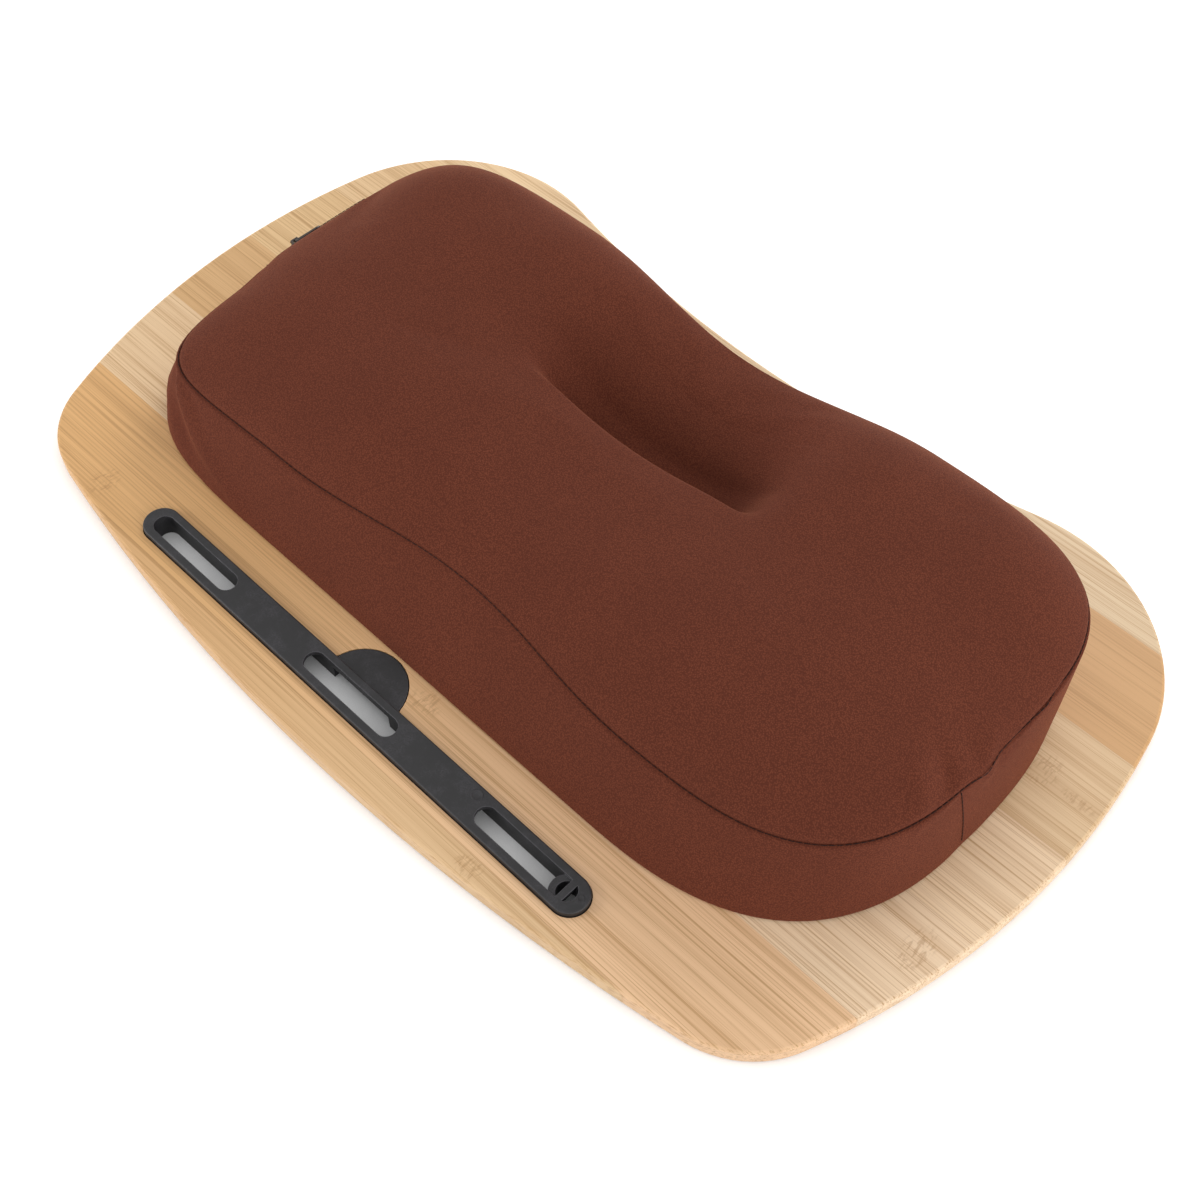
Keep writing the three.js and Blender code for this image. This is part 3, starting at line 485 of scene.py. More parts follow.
def knit_material(pad):
    """Brushed stretch knit: a matt, velvety brown whose short nap lightens at low angles.
    The real loops are about 0.4 mm apart, too fine to show, so they are drawn at the spacing given."""
    material, tree = new_material("Brushed stretch knit")
    loop_place, tuft_place = (
        add_node(
            tree, "ShaderNodeVectorRotate", {"rotation_type": "EULER_XYZ"},
            {"Vector": scaled_coordinates(tree, (spacing,) * 3), "Rotation": LATTICE_TILT}).outputs[0]
        for spacing in (pad.knit_spacing, pad.tuft_size))
    loops = add_node(
        tree, "ShaderNodeTexVoronoi", {"feature": "F1"},
        {"Vector": loop_place, "Scale": 1.0, "Randomness": 0.9})
    fuzz = add_node(
        tree, "ShaderNodeTexNoise",
        inputs={"Vector": tuft_place, "Scale": 1.0, "Detail": 3.0, "Roughness": 0.7})
    cloud = add_node(
        tree, "ShaderNodeTexNoise", inputs={
            "Vector": scaled_coordinates(tree, (pad.wear_size,) * 3),
            "Scale": 1.0, "Detail": 2.0, "Roughness": 0.5})
    gaps = add_node(
        tree, "ShaderNodeMapRange", EASED,
        {VALUE: loops.outputs["Distance"], FROM_LOW: 0.15, FROM_HIGH: 0.7, TO_HIGH: 0.7})
    between = add_node(
        tree, "ShaderNodeMix", COLOUR_MIX,
        {SHARE: gaps.outputs[0], FIRST: pad.knit, SECOND: pad.knit_shade})
    tufts = add_node(
        tree, "ShaderNodeMapRange", EASED,
        {VALUE: fuzz.outputs[0], FROM_LOW: 0.35, FROM_HIGH: 0.7, TO_LOW: 0.32, TO_HIGH: 0.0})
    fuzzed = add_node(
        tree, "ShaderNodeMix", COLOUR_MIX,
        {SHARE: tufts.outputs[0], FIRST: between.outputs[MIXED], SECOND: pad.knit_shade})
    wear = add_node(
        tree, "ShaderNodeMapRange", EASED,
        {VALUE: cloud.outputs[0], FROM_LOW: 0.3, FROM_HIGH: 0.75, TO_LOW: 0.16, TO_HIGH: 0.0})
    colour = add_node(
        tree, "ShaderNodeMix", COLOUR_MIX,
        {SHARE: wear.outputs[0], FIRST: fuzzed.outputs[MIXED], SECOND: pad.knit_shade})
    height = add_node(
        tree, "ShaderNodeMath", {"operation": "SUBTRACT"},
        {0: fuzz.outputs[0], 1: loops.outputs["Distance"]})
    bump = add_node(
        tree, "ShaderNodeBump", inputs={"Height": height.outputs[0], "Strength": 0.5, "Distance": 0.3 * MM})
    shader = add_node(
        tree, "ShaderNodeBsdfPrincipled", inputs={
            "Base Color": colour.outputs[MIXED], "Normal": bump.outputs[0], "Roughness": 0.92, "IOR": 1.45,
            "Specular IOR Level": 0.2, "Sheen Weight": 0.5, "Sheen Roughness": 0.24,
            "Sheen Tint": tuple(pad.nap)})
    add_node(tree, "ShaderNodeOutputMaterial", inputs={"Surface": shader.outputs[0]})
    return material


def yarn_material(name, colour, spacing, roughness):
    """Twisted or woven yarn: fine slanting ridges that break up the light"""
    material, tree = new_material(name)
    twist = add_node(
        tree, "ShaderNodeTexWave", {"wave_type": "BANDS", "bands_direction": "DIAGONAL"},
        {"Vector": scaled_coordinates(tree, (spacing,) * 3), "Scale": 0.3, "Distortion": 1.5, "Detail": 1.0})
    shade = add_node(
        tree, "ShaderNodeMix", COLOUR_MIX,
        {SHARE: twist.outputs["Fac"], FIRST: shaded(colour, 0.55), SECOND: colour})
    bump = add_node(
        tree, "ShaderNodeBump",
        inputs={"Height": twist.outputs["Fac"], "Strength": 0.6, "Distance": 0.2 * MM})
    shader = add_node(
        tree, "ShaderNodeBsdfPrincipled", inputs={
            "Base Color": shade.outputs[MIXED], "Normal": bump.outputs[0], "Roughness": roughness,
            "IOR": 1.53, "Specular IOR Level": 0.2})
    add_node(tree, "ShaderNodeOutputMaterial", inputs={"Surface": shader.outputs[0]})
    return material


def pile_material(name, colour, spacing, height):
    """Nylon hook or loop pile: close dark tufts over a woven tape"""
    material, tree = new_material(name)
    tufts = add_node(
        tree, "ShaderNodeTexVoronoi", {"feature": "F1"},
        {"Vector": scaled_coordinates(tree, (spacing,) * 3), "Scale": 1.0, "Randomness": 0.35})
    gaps = add_node(
        tree, "ShaderNodeMapRange", EASED,
        {VALUE: tufts.outputs["Distance"], FROM_LOW: 0.1, FROM_HIGH: 0.7})
    shade = add_node(
        tree, "ShaderNodeMix", COLOUR_MIX,
        {SHARE: gaps.outputs[0], FIRST: colour, SECOND: shaded(colour, 0.4)})
    bump = add_node(
        tree, "ShaderNodeBump", {"invert": True},
        {"Height": tufts.outputs["Distance"], "Strength": 0.8, "Distance": height})
    shader = add_node(
        tree, "ShaderNodeBsdfPrincipled", inputs={
            "Base Color": shade.outputs[MIXED], "Normal": bump.outputs[0], "Roughness": 0.8, "IOR": 1.53})
    add_node(tree, "ShaderNodeOutputMaterial", inputs={"Surface": shader.outputs[0]})
    return material


def nylon_material(zipper):
    """Nylon monofilament: smooth brown with a soft gloss"""
    material, tree = new_material("Nylon coil")
    cloud = add_node(
        tree, "ShaderNodeTexNoise", inputs={
            "Vector": scaled_coordinates(tree, (zipper.nylon_cloud,) * 3), "Scale": 1.0, "Detail": 2.0})
    colour = add_node(
        tree, "ShaderNodeMix", COLOUR_MIX,
        {SHARE: cloud.outputs[0], FIRST: shaded(zipper.nylon, 0.6), SECOND: zipper.nylon})
    shader = add_node(
        tree, "ShaderNodeBsdfPrincipled",
        inputs={"Base Color": colour.outputs[MIXED], "Roughness": 0.45, "IOR": 1.53})
    add_node(tree, "ShaderNodeOutputMaterial", inputs={"Surface": shader.outputs[0]})
    return material


def zip_metal_material(zipper):
    """Die-cast zinc under a dark lacquer, rubbed a little brighter in patches"""
    material, tree = new_material("Lacquered zinc")
    wear = add_node(
        tree, "ShaderNodeTexNoise", inputs={
            "Vector": scaled_coordinates(tree, (zipper.metal_wear,) * 3),
            "Scale": 1.0, "Detail": 4.0, "Roughness": 0.7})
    patches = add_node(
        tree, "ShaderNodeMapRange", EASED, {VALUE: wear.outputs[0], FROM_LOW: 0.5, FROM_HIGH: 0.75})
    colour = add_node(
        tree, "ShaderNodeMix", COLOUR_MIX,
        {SHARE: patches.outputs[0], FIRST: zipper.metal, SECOND: shaded(zipper.metal, 2.2)})
    polish = add_node(
        tree, "ShaderNodeMapRange", EASED,
        {VALUE: wear.outputs[0], FROM_LOW: 0.3, FROM_HIGH: 0.7, TO_LOW: 0.48, TO_HIGH: 0.3})
    shader = add_node(
        tree, "ShaderNodeBsdfPrincipled", inputs={
            "Base Color": colour.outputs[MIXED], "Metallic": 1.0, "Roughness": polish.outputs[0]})
    add_node(tree, "ShaderNodeOutputMaterial", inputs={"Surface": shader.outputs[0]})
    return material


def seen_rays(tree):
    """1 for rays that show a thing to the eye, straight, in a reflection or through something clear"""
    path = add_node(tree, "ShaderNodeLightPath")
    straight = add_node(
        tree, "ShaderNodeMath", {"operation": "MAXIMUM"},
        {0: path.outputs["Is Camera Ray"], 1: path.outputs["Is Glossy Ray"]})
    clear = add_node(
        tree, "ShaderNodeMath", {"operation": "MAXIMUM"},
        {0: straight.outputs[0], 1: path.outputs["Is Transmission Ray"]})
    return clear.outputs[0]


def floor_material(stage):
    """Matt white paper that reads white to the eye and still takes the desk's shadow. Its glow is dimmed by
    ambient occlusion near the desk, a painted shade in the slots, the pen hole and along the board's edges.
    """
    material, tree = new_material("White paper sweep")
    paper = add_node(tree, "ShaderNodeBsdfDiffuse", inputs={"Color": stage.paper})
    # Painted shade: ambient occlusion dims the paper's glow under and beside the desk, greying the slots, the
    # pen hole and the board's edges
    open_sky = add_node(tree, "ShaderNodeAmbientOcclusion", {"samples": 8}, {"Distance": 0.06})
    glow_with_painted_shade = add_node(
        tree, "ShaderNodeMapRange", EASED,
        {VALUE: open_sky.outputs["AO"], FROM_LOW: 0.05, FROM_HIGH: 0.9, TO_HIGH: 0.5})
    glow = add_node(tree, "ShaderNodeEmission", inputs={"Strength": glow_with_painted_shade.outputs[0]})
    seen = add_node(tree, "ShaderNodeAddShader", inputs={0: paper.outputs[0], 1: glow.outputs[0]})
    shader = add_node(
        tree, "ShaderNodeMixShader", inputs={0: seen_rays(tree), 1: paper.outputs[0], 2: seen.outputs[0]})
    add_node(tree, "ShaderNodeOutputMaterial", inputs={"Surface": shader.outputs[0]})
    return material


# Board and insert

# Left and right tones of the planks, from the outer edge to the user's edge
PLANK_TONES = (
    ("deb07a", "e9c597"),
    ("e3b277", "f3c99d"),
    ("f0cea3", "f7d9b5"),
    ("dfb47f", "f7d8b2"),
    ("eac592", "e7c69b"),
    ("ecc899", "d8a974"),
    ("efcfa3", "e6caa3"),
)

# Node marks of the bamboo: plank, middle and reach in millimetres
KNUCKLES = (
    (1, (96, -158), (9, 7)),
    (2, (-186, -141), (9, 11)),
    (2, (23, -116), (10, 8)),
    (3, (254, -55), (8, 14)),
    (5, (243, 50), (9, 11)),
    (5, (262, 47), (11, 4)),
)

# Height of every node mark's middle, and its reach into the board, in millimetres
KNUCKLE_LEVEL = 10
KNUCKLE_DEPTH = 20

# Round marks that the ejector pins leave on the insert: x, y and radius in millimetres
EJECTOR_MARKS = ((75, -133, 2.8), (141, -136, 1.7))

# Section of a mark, from its foot in to its floor: distance in from its radius, and height, in millimetres
MARK_SECTION = ((0, -0.1), (0, 0.12), (0.2, 0.18), (0.35, 0.18), (0.5, 0.05))
MARK_SIDES = 32


def ejector_mark(x, y, radius, top):
    """Points and faces of one ejector mark on a face at the height given"""
    verts = []
    for inset, height in MARK_SECTION:
        reach = radius - inset
        for k in range(MARK_SIDES):
            turn = 2 * math.pi * k / MARK_SIDES
            place = Vector((x + reach * math.cos(turn), y + reach * math.sin(turn), 0)) * MM
            verts.append(place + Vector((0, 0, top + height * MM)))
    return verts, closed_faces(len(MARK_SECTION), MARK_SIDES)


# Pad form

# Outline of the pad at one level: reach of its ends, half depth, how far each side draws in, and its corners
Plan = namedtuple("Plan", "reach depth outer_waist user_waist corners")

# A place round the pad: along the straight run, and the turn round an end
Place = namedtuple("Place", "run cos sin")

# How square the pad's corners are: right outer, right user's, left outer, left user's
BASE_SQUARENESS = (2.65, 2.8, 3.6, 5.0)
SEAM_SQUARENESS = (3.0, 3.58, 6.5, 4.6)

# Where gathered cloth moves the right end's seam: place across the pad, width and push, in millimetres
SEAM_WAVES = ((-14, 7, 2.2), (3, 5, -1.2), (28, 6, 0.9), (40, 5, -0.7))

# How far the seam's tuck lowers it, as a share of how far it draws the cloth in
SEAM_SINK = 0.5

# Lean of the band's right join, as angles round the end: most at the seam, where that is, and its width
JOIN_LEAN = 0.087
JOIN_LEAN_ANGLE = -0.067
JOIN_LEAN_WIDTH = 0.35

# Width of the left end's dip, towards the outer side and towards the user
HOLLOW_OUTER = 62 * MM
HOLLOW_USER = 22 * MM

# How abruptly the trough ends, and how far past its ends the sharp lip takes to fade
TROUGH_END_POWER = 6
LIP_FADE = 20 * MM

# The trough's slope to the user: share of its depth that falls off fast, and that part's share of its width
FAST_SHARE = 0.65
FAST_WIDTH = 0.37

# Width of the outer slope past the lip, as a share of the gentle side
OUTER_SLOPE = 0.6

# How much deeper the trough is at the foot of its wall
WALL_FOOT = 0.2

# Where the drop of the left outer corner starts, from the seam's middle, and how far it takes
CORNER_START_X = 110 * MM
CORNER_START_Y = 45 * MM
CORNER_FADE_X = 95 * MM
CORNER_FADE_Y = 50 * MM

# Where the waist's crown starts to change from the outer side's to the user's, and how far it takes
WAIST_CHANGE = -10 * MM
WAIST_CHANGE_WIDTH = 60 * MM

# How late the crown, and the hollow and slack in it, fall off towards the seam
CROWN_POWER = 4.2
HOLLOW_POWER = 4

# Points at which a quarter of an end is measured, and the angle that they keep from its two ends
END_SAMPLES = 600
TINY_TURN = 1e-6

# Angle and distance over which the seam's direction is taken
SMALL_TURN = 1e-3
SMALL_STEP = 1e-5


def smooth_step(share):
    """Eases a share from 0 to 1."""
    share = min(1.0, max(0.0, share))
    return share * share * (3 - 2 * share)


def bell(distance, width):
    """1 at no distance, falling off over a width"""
    return math.exp(-((distance / width) ** 2))


def turned(run, angle):
    """The place at an angle round an end"""
    return Place(run, math.cos(angle), math.sin(angle))


class PadForm:
    """Plan, seam line, band and crown of the pad, in metres"""

    def __init__(self, pad, base_height):
        self.pad = pad
        self.base = base_height
        self.half_run = pad.run / 2
        reach = (pad.length - pad.run) / 2
        depth = pad.depth / 2
        self.base_plan = Plan(reach, depth, 0.0, pad.base_waist, BASE_SQUARENESS)
        self.seam_plan = Plan(
            reach - pad.end_inset, depth - pad.side_inset, pad.outer_waist, pad.user_waist, SEAM_SQUARENESS)
        self.base_middle = Vector((pad.offset_x, pad.offset_y))
        self.seam_middle = self.base_middle + Vector((pad.shift_x, pad.shift_y))

    def waist(self, x):
        """1 at the middle of the pad, falling to 0 where its ends start"""
        return (1 + math.cos(math.pi * min(1, abs(x) / self.half_run))) / 2

    def squareness(self, plan, x, y):
        right_outer, right_user, left_outer, left_user = plan.corners
        if x >= 0:
            return right_outer if y < 0 else right_user
        return left_outer if y < 0 else left_user

    def end_hollow(self, x, y):
        """How far the left end dips in between its corners"""
        if x >= 0:
            return 0.0
        away = y - self.pad.hollow_y
        return self.pad.end_hollow * bell(away, HOLLOW_OUTER if away < 0 else HOLLOW_USER)

    def plan_point(self, plan, place):
        power = 2 / self.squareness(plan, place.cos, place.sin)
        x = place.run + plan.reach * math.copysign(abs(place.cos) ** power, place.cos)
        side = plan.depth * math.copysign(abs(place.sin) ** power, place.sin)
        drawn_in = plan.outer_waist if place.sin < 0 else -plan.user_waist
        return Vector((x + self.end_hollow(place.cos, side), side + drawn_in * self.waist(place.run)))

    def share_out(self, x, y):
        """0 on the pad's middle line and 1 on the seam, for a point measured from the seam's middle"""
        plan = self.seam_plan
        drawn_in = plan.outer_waist if y < 0 else plan.user_waist
        across = abs(y) / (plan.depth - drawn_in * self.waist(x))
        past = max(0, abs(x) - self.half_run) / (plan.reach - self.end_hollow(x, y))
        power = self.squareness(plan, x, y)
        return (across ** power + past ** power) ** (1 / power)

    def dimple(self, x, y):
        """Share of its depth that the trough has at a point measured from the seam's middle"""
        pad = self.pad
        aside = abs(x - pad.dimple_x)
        lengthways = math.exp(-((aside / pad.dimple_half) ** TROUGH_END_POWER))
        across = y - pad.dimple_y
        if across > 0:
            fast = FAST_SHARE * math.exp(-across / (FAST_WIDTH * pad.dimple_gentle))
            return lengthways * (fast + (1 - FAST_SHARE) * bell(across, pad.dimple_gentle))
        wall = smooth_step((across + pad.dimple_floor + pad.dimple_steep) / pad.dimple_steep)
        slope = bell(across, OUTER_SLOPE * pad.dimple_gentle)
        past_lip = smooth_step((aside - pad.lip_half) / LIP_FADE)
        foot = wall * (1 + WALL_FOOT * smooth_step(-across / pad.dimple_floor))
        return lengthways * (foot + (slope - foot) * past_lip)

    def tied(self, point):
        """Share of its depth that the trough has at a point of the pad"""
        return self.dimple(point.x - self.seam_middle.x, point.y - self.seam_middle.y)

    def seam_level(self, x, y):
        pad = self.pad
        user_side = max(0, y) / self.seam_plan.depth
        tilt = pad.seam_rise * x / (pad.length / 2) - pad.waist_drop * self.waist(x) * user_side
        left = smooth_step((-x - CORNER_START_X) / CORNER_FADE_X)
        outer = smooth_step((-y - CORNER_START_Y) / CORNER_FADE_Y)
        return self.base + pad.seam_height + tilt - pad.corner_drop * left * outer

    def top_level(self, x, y):
        """Height of the top at a point measured from the seam's middle"""
        pad = self.pad
        out = min(1, self.share_out(x, y))
        user_side = smooth_step((y - WAIST_CHANGE) / WAIST_CHANGE_WIDTH)
        waist_crown = pad.outer_crown + (pad.waist_crown - pad.outer_crown) * user_side
        crown = waist_crown + (pad.lobe_crown - waist_crown) * (1 - self.waist(x))
        if y > 0:
            lift = pad.lobe_lift if x < 0 else pad.right_lift
            crown += lift * (1 - self.waist(x)) * smooth_step(y / self.seam_plan.depth)
        hollow = pad.dimple_depth * self.dimple(x, y) * (1 - out ** HOLLOW_POWER)
        return self.seam_level(x, y) + crown * (1 - out ** CROWN_POWER) - hollow

    def end_angles(self, start, steps):
        """Angles round a quarter of an end that space the seam evenly"""
        first = start + TINY_TURN
        last = start + math.pi / 2 - TINY_TURN
        angles = []
        for i in range(END_SAMPLES + 1):
            angle = start + math.pi / 4 * (1 - math.cos(math.pi * i / END_SAMPLES))
            angles.append(min(max(angle, first), last))
        lengths = running_lengths([self.plan_point(self.seam_plan, turned(0, angle)) for angle in angles])
        return [angles[bisect_left(lengths, lengths[-1] * k / steps)] for k in range(steps)]

    def places(self, run_steps, end_steps):
        """Places round the pad: left end, outer side, right end, user's side, left end"""
        run = self.half_run
        ring = [turned(-run, angle) for angle in self.end_angles(math.pi, end_steps)]
        ring += [Place(-run + 2 * run * i / run_steps, 0.0, -1.0) for i in range(run_steps)]
        for start in (-math.pi / 2, 0.0):
            ring += [turned(run, angle) for angle in self.end_angles(start, end_steps)]
        ring += [Place(run - 2 * run * i / run_steps, 0.0, 1.0) for i in range(run_steps)]
        ring += [turned(-run, angle) for angle in self.end_angles(math.pi / 2, end_steps)]
        return ring

    def place_at_depth(self, side, share):
        """A place round an end, given as a share of the base's half depth"""
        power = self.squareness(self.base_plan, side, share) / 2
        sin = math.copysign(abs(share) ** power, share)
        return Place(self.half_run * side, side * math.sqrt(1 - sin ** 2), sin)

    def left_place(self, y):
        """The place round the left end that lies at y across the board"""
        return self.place_at_depth(-1, (y - self.base_middle.y) / (self.pad.depth / 2))

    def outward(self, place):
        """Direction straight out of the seam, in plan"""
        if place.cos == 0:
            ahead = self.plan_point(self.seam_plan, place._replace(run=place.run + SMALL_STEP))
            behind = self.plan_point(self.seam_plan, place._replace(run=place.run - SMALL_STEP))
            along = (ahead - behind).normalized() * place.sin
            return Vector((-along.y, along.x))
        angle = math.atan2(place.sin, place.cos)
        ahead = self.plan_point(self.seam_plan, turned(place.run, angle + SMALL_TURN))
        behind = self.plan_point(self.seam_plan, turned(place.run, angle - SMALL_TURN))
        along = (ahead - behind).normalized()
        return Vector((along.y, -along.x))

    def seam_place(self, place):
        """Place on the seam that is sewn to a place on the base: the band's right join leans a little."""
        if place.cos <= 0:
            return place
        angle = math.atan2(place.sin, place.cos)
        return turned(place.run, angle - JOIN_LEAN * bell(angle - JOIN_LEAN_ANGLE, JOIN_LEAN_WIDTH))

    def band_point(self, place, share, out=0.0, bulge=None):
        """A point of the side band: share runs from 0 at the base to 1 at the seam."""
        low = self.plan_point(self.base_plan, place) + self.base_middle
        seam = self.plan_point(self.seam_plan, self.seam_place(place))
        high = seam + self.seam_middle
        swell = 4 * (self.pad.bulge if bulge is None else bulge) * share * (1 - share) + out
        plan = low.lerp(high, share) + self.outward(place) * swell
        top = self.top_level(seam.x, seam.y)
        return Vector((plan.x, plan.y, self.base + (top - self.base) * share))

    def seam_point(self, place, tuck=1.0):
        """A point of the top seam, where the thread pulls the cloth in"""
        push = -self.pad.seam_tuck * tuck
        sink = SEAM_SINK * push
        if place.cos > 0:
            y = self.plan_point(self.seam_plan, self.seam_place(place)).y / MM
            push += sum(out * MM * bell(y - at, width) for at, width, out in SEAM_WAVES)
        aside = self.outward(place) * push
        return self.band_point(place, 1.0) + Vector((aside.x, aside.y, sink))


# Pad cover

# Points of the mesh along the pad's straight run and round a quarter of an end, and how much finer lines are
RUN_STEPS = 44
END_STEPS = 24
FINER = 3

# Rings of the mesh: out over the base, up the band, and in over the top
BASE_SHARES = (0.45, 0.7, 0.86, 0.94, 0.975)
BAND_SHARES = (0.0, 0.04, 0.1, 0.18, 0.28, 0.39, 0.5, 0.61, 0.72, 0.82, 0.9, 0.955, 0.982)
TOP_SHARES = (0.99, 0.972, 0.945, 0.91, 0.865, 0.81, 0.75, 0.685, 0.62, 0.55, 0.48, 0.41)

# How far the cover's underside stays above the base panel's
BASE_GAP = 0.1 * MM

# The sagging rim: where it starts on the base, and the share of the band that sags with it
RIM_START = 0.9
RIM_BAND = 0.1

# Share of the swell that the slack cover lies in by, before the filling presses it out
SLACK = 0.7

# Share of the trough's depth past which the tie holds the cloth, and how firmly it grips the cloth round it
TIED_SHARE = 0.6
TIE_GRIP = 1.6

# Upright joins of the side band: end of the pad and share of its half depth
PAD_JOINS = ((1, -0.13), (-1, -0.07))

# Share of the band's bulge that is left along a join, and how far the join is drawn in
JOIN_BULGE = 0.35
JOIN_TUCK = 1.1 * MM

# Stretch of the left end under the zip's tapes, as shares of the base's half depth, and how far it lies in
ZIP_ZONE = (-0.04, 0.53)
ZIP_TUCK = 0.9 * MM


def block_inside(ring, run_steps, end_steps, height):
    """Points inside a ring of the pad, as a grid that joins the ring's sides and ends"""
    count = len(ring)
    first = end_steps
    across = 2 * end_steps

    def spot(i, j):
        if j == 0:
            return first + i
        if i == run_steps:
            return first + run_steps + j
        if j == across:
            return first + 2 * run_steps + across - i
        return (first - j) % count

    grid = {}
    points = []
    for i in range(run_steps + 1):
        for j in range(across + 1):
            if i in (0, run_steps) or j in (0, across):
                grid[i, j] = spot(i, j)
                continue
            u = i / run_steps
            v = j / across
            sides = ring[spot(i, 0)] * (1 - v) + ring[spot(i, across)] * v
            ends = ring[spot(0, j)] * (1 - u) + ring[spot(run_steps, j)] * u
            corners = (
                ring[spot(0, 0)] * (1 - u) * (1 - v) + ring[spot(run_steps, 0)] * u * (1 - v)
                + ring[spot(0, across)] * (1 - u) * v + ring[spot(run_steps, across)] * u * v)
            plan = sides + ends - corners
            grid[i, j] = count + len(points)
            points.append(Vector((plan.x, plan.y, height(plan.x, plan.y))))
    faces = []
    for i in range(run_steps):
        for j in range(across):
            faces.append((grid[i, j], grid[i + 1, j], grid[i + 1, j + 1], grid[i, j + 1]))
    return points, faces


def slack_top(form, x, y):
    """Height of the top before the filling presses it out"""
    local = Vector((x, y)) - form.seam_middle
    out = min(1, form.share_out(local.x, local.y))
    free = max(0.0, 1 - form.dimple(local.x, local.y))
    return form.top_level(local.x, local.y) - SLACK * form.pad.swell * (1 - out ** HOLLOW_POWER) * free


def pad_rings(form, places):
    """Rings of points of the slack pad: out over the base, up the band to the seam, and in over the top"""
    pad = form.pad
    rings = []
    for share in BASE_SHARES:
        drop = pad.rim_drop * max(0.0, (share - RIM_START) / (BASE_SHARES[-1] - RIM_START))
        ring = []
        for place in places:
            rim = form.plan_point(form.base_plan, place)
            plan = Vector((place.run, 0.0)).lerp(rim, share) + form.base_middle
            ring.append(Vector((plan.x, plan.y, form.base + BASE_GAP - drop)))
        rings.append(ring)
    for share in BAND_SHARES:
        ring = [form.band_point(place, share, bulge=pad.bulge - SLACK * pad.swell) for place in places]
        for point in ring:
            point.z -= pad.rim_drop * max(0.0, 1 - share / RIM_BAND)
        rings.append(ring)
    rings.append([form.seam_point(place) for place in places])
    for share in TOP_SHARES:
        ring = []
        for place in places:
            seam = form.plan_point(form.seam_plan, form.seam_place(place))
            plan = Vector((place.run, pad.dimple_y)).lerp(seam, share) + form.seam_middle
            ring.append(Vector((plan.x, plan.y, slack_top(form, plan.x, plan.y))))
        rings.append(ring)
    return rings


def join_columns(form, places):
    """Index of the place nearest to each upright join of the band"""
    feet = [form.band_point(place, 0.0) for place in places]
    columns = []
    for side, share in PAD_JOINS:
        wanted = form.band_point(form.place_at_depth(side, share), 0.0)
        columns.append(min(range(len(feet)), key=lambda k: (feet[k] - wanted).length))
    return columns


def pad_mesh(form):
    """Points and faces of the slack pad, the points that the sewing holds, and the sewn lines"""
    pad = form.pad
    places = form.places(RUN_STEPS, END_STEPS)
    count = len(places)
    rings = pad_rings(form, places)
    points = [point for ring in rings for point in ring]
    faces = ring_faces(len(rings), count)
    base_start = len(points)
    base_points, base_faces = block_inside(rings[0], RUN_STEPS, END_STEPS, lambda x, y: form.base + BASE_GAP)
    points += base_points
    for face in base_faces:
        faces.append(tuple(i if i < count else i - count + base_start for i in reversed(face)))
    top_start = len(points)
    top_points, top_faces = block_inside(rings[-1], RUN_STEPS, END_STEPS, lambda x, y: slack_top(form, x, y))
    points += top_points
    last = (len(rings) - 1) * count
    for face in top_faces:
        faces.append(tuple(last + i if i < count else i - count + top_start for i in face))

    band_ring = len(BASE_SHARES)
    seam_ring = band_ring + len(BAND_SHARES)
    seam = list(range(seam_ring * count, (seam_ring + 1) * count))
    held = set(range((band_ring + 1) * count)) | set(range(base_start, top_start)) | set(seam)
    held |= {i for i in range(top_start, len(points)) if form.tied(points[i]) > TIED_SHARE}
    sewn = [seam]
    for column in join_columns(form, places):
        line = [r * count + column for r in range(band_ring + 1, seam_ring)]
        for share, index in zip(BAND_SHARES[1:], line):
            points[index] = form.band_point(places[column], share, -JOIN_TUCK, JOIN_BULGE * pad.bulge)
        sewn.append([band_ring * count + column] + line + [seam_ring * count + column])
        held |= set(line)
    for r, share in enumerate(BAND_SHARES[2:-1], band_ring + 2):
        for k, place in enumerate(places):
            side = form.plan_point(form.base_plan, place).y / form.base_plan.depth
            if place.cos < 0 and ZIP_ZONE[0] < side < ZIP_ZONE[1]:
                points[r * count + k] = form.band_point(place, share, -ZIP_TUCK)
                held.add(r * count + k)
    return points, faces, sorted(held), sewn


def press_out(piece, held, form):
    """Lets the filling press the cover out between the places that the sewing and the tie hold."""
    pad = form.pad
    scene = bpy.context.scene
    group = piece.vertex_groups.new(name="held")
    group.add(held, 1.0, "REPLACE")
    slack = [vertex.co.copy() for vertex in piece.data.vertices]
    cloth = piece.modifiers.new("Filling", "CLOTH")
    cloth.settings.use_pressure = True
    cloth.settings.uniform_pressure_force = pad.pressure
    cloth.settings.effector_weights.gravity = 0
    cloth.settings.vertex_group_mass = "held"
    cloth.point_cache.frame_start = 1
    cloth.point_cache.frame_end = pad.frames
    for step in range(1, pad.frames + 1):
        scene.frame_set(step)
    pressed = piece.evaluated_get(bpy.context.evaluated_depsgraph_get()).to_mesh()
    for vertex, start, end in zip(piece.data.vertices, slack, [v.co.copy() for v in pressed.vertices]):
        move = end - start
        if move.length > pad.swell:
            move *= pad.swell / move.length
        vertex.co = start + move * (1 - smooth_step(TIE_GRIP * form.tied(start)))
    piece.modifiers.remove(cloth)
    scene.frame_set(1)


